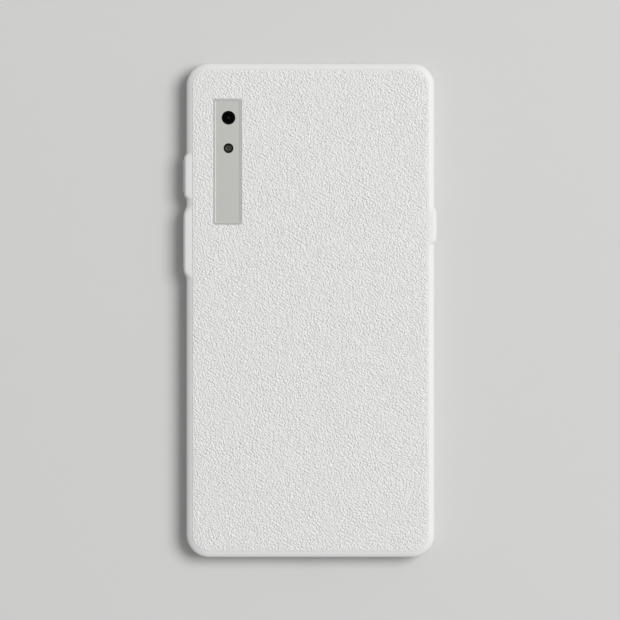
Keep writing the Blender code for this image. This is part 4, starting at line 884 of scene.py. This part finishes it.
# charging port: drawn shell with a rolled mouth, tongue with contact strips
portSet = {
    "level": 4.43,
    "half": (4.47, 1.58),
    "corner": 1.56,
    "mouth": 79.35,
    "mouthRoll": (10, 180),
    "depth": 7.3,
    "sheet": 0.3,
    "backSheet": 1.0,
    "tongue": (6.7, 0.7),
    "tongueSpan": (73.1, 77.7),
    "tongueCorner": 0.3,
    "tongueEdge": 0.12,
    "strips": 12,
    "stripPitch": 0.5,
    "strip": (0.27, 0.06, 3.0),   # width, thickness, length
    "stripCorner": 0.02,
    "stripBack": 0.55,            # from the tip of the tongue
    "shellFinish": {"color": (0.60, 0.605, 0.61), "scale": 5000.0, "spread": 0.12, "roughness": 0.26,
                    "unevenness": 0.10, "relief": 0.001, "metallic": 1.0},
    "tongueFinish": {"color": (0.025, 0.025, 0.027), "scale": 4000.0, "spread": 0.2, "roughness": 0.45},
    "stripFinish": {"color": (0.83, 0.60, 0.22), "scale": 9000.0, "spread": 0.1, "roughness": 0.24,
                    "relief": 0.0005, "metallic": 1.0},
}


def makePort(s):
    sheet, mouth = s["sheet"], s["mouth"]
    rings = [(0.0, mouth - s["depth"]), (0.0, mouth - sheet / 2)]
    rings += rollRings(mouth - sheet / 2, sheet / 2, *s["mouthRoll"], steps=8)
    rings += [(sheet, mouth - s["depth"] + s["backSheet"])]
    return toLowerEnd(ringed(s["half"], s["corner"], rings, segments=12), 0.0, s["level"])


def makeTongue(s):
    blank = prism(*s["tongue"], s["tongueCorner"], *s["tongueSpan"], segments=5, edge=s["tongueEdge"])
    return toLowerEnd(blank, 0.0, s["level"])


def makeStrips(s):
    strips = []
    width, thick, length = s["strip"]
    top = s["tongueSpan"][1] - s["stripBack"]
    for face in (-1, 1):
        for index in range(s["strips"]):
            across = (index - (s["strips"] - 1) / 2) * s["stripPitch"]
            middle = (across, face * s["tongue"][1] / 2)
            strips.append(prism(width, thick, s["stripCorner"], top - length, top, segments=1, centre=middle))
    return toLowerEnd(gathered(strips), 0.0, s["level"])


portSteel = finish("portSteel", brushed, portSet["shellFinish"])
addPiece("portShell", makePort(portSet), portSteel, "body", "usb_shell")
tongueBlack = finish("tongueBlack", mottle, portSet["tongueFinish"])
addPiece("portTongue", makeTongue(portSet), tongueBlack, "body", "usb_tongue")
stripGold = finish("stripGold", brushed, portSet["stripFinish"])
addPiece("portStrips", makeStrips(portSet), stripGold, "body")


# display front: clear glass, printed border behind its edge
glassSet = {
    "half": (38.7, 78.2),
    "corner": 6.0,
    "thickness": 0.7,
    "edge": 0.35,
    "print": (77.0, 156.0, 5.2),    # width, length, corner
    "window": (69.6, 139.2, 0.8),
    "printLevel": (0.702, 0.735),
    "glassFinish": {"color": (0.97, 0.98, 0.98), "scale": 700.0, "spread": 0.01, "roughness": 0.06,
                    "unevenness": 0.02, "relief": 0.0, "clear": 1.0},
    "printFinish": {"color": (0.690, 0.688, 0.684), "scale": 3000.0, "spread": 0.02, "roughness": 0.5,
                    "relief": 0.001},
}


def makeGlass(s):
    rings = [(0.0, s["thickness"])]
    rings += rollRings(s["edge"], s["edge"], 0, -90, steps=6)
    return ringed(s["half"], s["corner"], rings, segments=20)


def makePrint(s):
    low, high = s["printLevel"]
    sheet = prism(*s["print"], low, high, segments=16)
    return carved(sheet, [prism(*s["window"], low - cutPast, high + cutPast, segments=6)])


clearGlass = finish("clearGlass", mottle, glassSet["glassFinish"])
addPiece("frontGlass", makeGlass(glassSet), clearGlass, "body", "cover_lens")
borderPrint = finish("borderPrint", mottle, glassSet["printFinish"])
addPiece("borderPrint", makePrint(glassSet), borderPrint, "body")


# finishes of the pieces inside, which keep their CAD shape
insideSet = {
    # slot: name, group, colour, roughness, what else it has of its own
    "flex": ("amberFlex", mottle, (0.36, 0.16, 0.03), 0.35, {"spread": 0.15}),
    "board": ("greenBoard", mottle, (0.02, 0.09, 0.05), 0.42, {"spread": 0.25, "scale": 900.0}),
    "chip": ("chipBlack", mottle, (0.02, 0.02, 0.022), 0.55, {"spread": 0.3, "relief": 0.004}),
    "steel": ("rolledSteel", brushed, (0.56, 0.565, 0.57), 0.30, {"metallic": 1.0}),
    "thermal_pad": ("padBlue", mottle, (0.45, 0.47, 0.55), 0.8, {"spread": 0.3}),
    "battery_foil": ("cellFoil", mottle, (0.045, 0.045, 0.05), 0.38, {"spread": 0.2, "scale": 500.0}),
    "tape": ("paleTape", mottle, (0.60, 0.60, 0.55), 0.5, {"spread": 0.1}),
    "contact_plastic": ("contactBlack", mottle, (0.03, 0.03, 0.03), 0.5, {"spread": 0.2}),
    "speaker_plastic": ("speakerBlack", mottle, (0.02, 0.02, 0.02), 0.5, {"spread": 0.2}),
    "rubber": ("bootRubber", mottle, (0.03, 0.03, 0.03), 0.75, {"spread": 0.3}),
    "foam": ("cushionFoam", mottle, (0.03, 0.03, 0.03), 0.9, {"spread": 0.6, "relief": 0.03}),
    "adhesive": ("ringAdhesive", mottle, (0.05, 0.05, 0.05), 0.6, {"spread": 0.2}),
    "clear_film": ("touchFilm", mottle, (0.93, 0.95, 0.95), 0.08, {"spread": 0.01, "clear": 1.0}),
    "light_guide": ("guideClear", mottle, (0.94, 0.96, 0.97), 0.10, {"spread": 0.01, "clear": 1.0}),
    "epaper": ("paperScreen", mottle, (0.60, 0.60, 0.57), 0.7, {"spread": 0.10, "scale": 5200.0}),
    "phosphor": ("lampPhosphor", mottle, (0.75, 0.62, 0.12), 0.7, {"spread": 0.2}),
    "black_plastic": ("moduleBlack", mottle, (0.012, 0.012, 0.013), 0.4, {"spread": 0.3}),
}
dustMeshSet = {
    "threadScale": 1600.0,
    "finish": {"color": (0.07, 0.07, 0.07), "roughness": 0.5, "spread": 0.2, "scale": 5000.0},
}


def makeDustMesh(s):
    # woven mesh behind the sound holes
    material, tree, shader, skin = finishNodes("dustMesh", mottle, s["finish"])
    place = addNode(tree, "ShaderNodeTexCoord")
    weave = addNode(tree, "ShaderNodeMath", operation="MAXIMUM")
    for index, direction in enumerate(("X", "Z")):
        wave = addNode(tree, "ShaderNodeTexWave", {"Scale": s["threadScale"]}, bands_direction=direction)
        link(tree, place, "Object", wave, "Vector")
        link(tree, wave, "Fac", weave, index)
    scaleTone(tree, skin, weave, shader, "Base Color")
    return material


def paintInside(s):
    finishes = {"mesh": makeDustMesh(dustMeshSet)}
    for slot, (name, group, color, roughness, own) in s.items():
        finishes[slot] = finish(name, group, {"color": color, "roughness": roughness, **own})
    slots = {part["node"]: part["material_slot"] for part in frame["record"]["subparts"]}
    for name, node in frame["nodes"].items():
        if node.hide_render:
            continue
        node.data.materials.clear()
        node.data.materials.append(finishes[slots[name]])
    print("inside pieces painted")


paintInside(insideSet)


# pale floor, soft studio lamp
stageSet = {
    "floorSize": 6.0,
    "floorFinish": {"color": (0.56, 0.56, 0.555), "scale": 120.0, "spread": 0.01, "roughness": 0.9,
                    "relief": 0.0, "specular": 0.1},
    "domeLight": 0.395,
    "background": (0.60, 0.60, 0.595),
    "fade": (0.16, 0.9),     # distances over which the floor runs into the background
    "lampPlace": (1.6, 0.63, 2.5),
    "lampSize": 1.8,
    "lampWatts": 86.5,
}


def seenRays(tree):
    # 1 where the camera, a reflection or a clear piece looks straight at the stage
    rays = addNode(tree, "ShaderNodeLightPath")
    seen = addNode(tree, "ShaderNodeMath", operation="MAXIMUM")
    link(tree, rays, "Is Camera Ray", seen, 0)
    link(tree, rays, "Is Glossy Ray", seen, 1)
    either = addNode(tree, "ShaderNodeMath", operation="MAXIMUM")
    link(tree, seen, 0, either, 0)
    link(tree, rays, "Is Transmission Ray", either, 1)
    return either


def makeFloorMaterial(s):
    # paper that keeps the shadow near the object and runs into the background far away
    material, tree, shader = finishNodes("floorPaper", mottle, s["floorFinish"])[:3]
    near, away = s["fade"]
    place = addNode(tree, "ShaderNodeTexCoord")
    distance = addNode(tree, "ShaderNodeVectorMath", operation="LENGTH")
    far = addNode(tree, "ShaderNodeMapRange", {"From Min": near, "From Max": away},
                  interpolation_type="SMOOTHSTEP")
    shown = addNode(tree, "ShaderNodeMath", operation="MULTIPLY")
    link(tree, place, "Object", distance, 0)
    link(tree, distance, "Value", far, "Value")
    link(tree, far, "Result", shown, 0)
    link(tree, seenRays(tree), 0, shown, 1)
    glow = addNode(tree, "ShaderNodeEmission", {"Color": (*s["background"], 1.0)})
    blend = addNode(tree, "ShaderNodeMixShader")
    link(tree, shown, 0, blend, 0)
    link(tree, shader, 0, blend, 1)
    link(tree, glow, 0, blend, 2)
    link(tree, blend, 0, tree.nodes["Material Output"], "Surface")
    return material


def makeStage(s):
    bm = bmesh.new()
    bmesh.ops.create_grid(bm, x_segments=8, y_segments=8, size=s["floorSize"] / 2)
    floor = addObject("floor", meshFrom("floor", bm))
    floor.data.materials.append(makeFloorMaterial(s))
    light = bpy.data.lights.new("keyLamp", "AREA")
    light.shape = "DISK"
    light.size = s["lampSize"]
    light.energy = s["lampWatts"]
    lamp = addObject("keyLamp", light)
    lamp.location = s["lampPlace"]
    lamp.rotation_euler = Vector(s["lampPlace"]).to_track_quat("Z", "Y").to_euler()


def makeWorld(s):
    world = bpy.data.worlds.new("studio")
    bpy.context.scene.world = world
    world.use_nodes = True
    tree = world.node_tree
    dome = (s["domeLight"],) * 3
    color = addNode(tree, "ShaderNodeMix", {
        mixColorA: (*dome, 1.0), mixColorB: (*s["background"], 1.0),
    }, data_type="RGBA")
    link(tree, seenRays(tree), 0, color, "Factor")
    link(tree, color, mixColorOut, tree.nodes["Background"], "Color")


makeStage(stageSet)
makeWorld(stageSet)
bpy.context.scene.view_settings.view_transform = "Standard"
print("stage and lamp set")
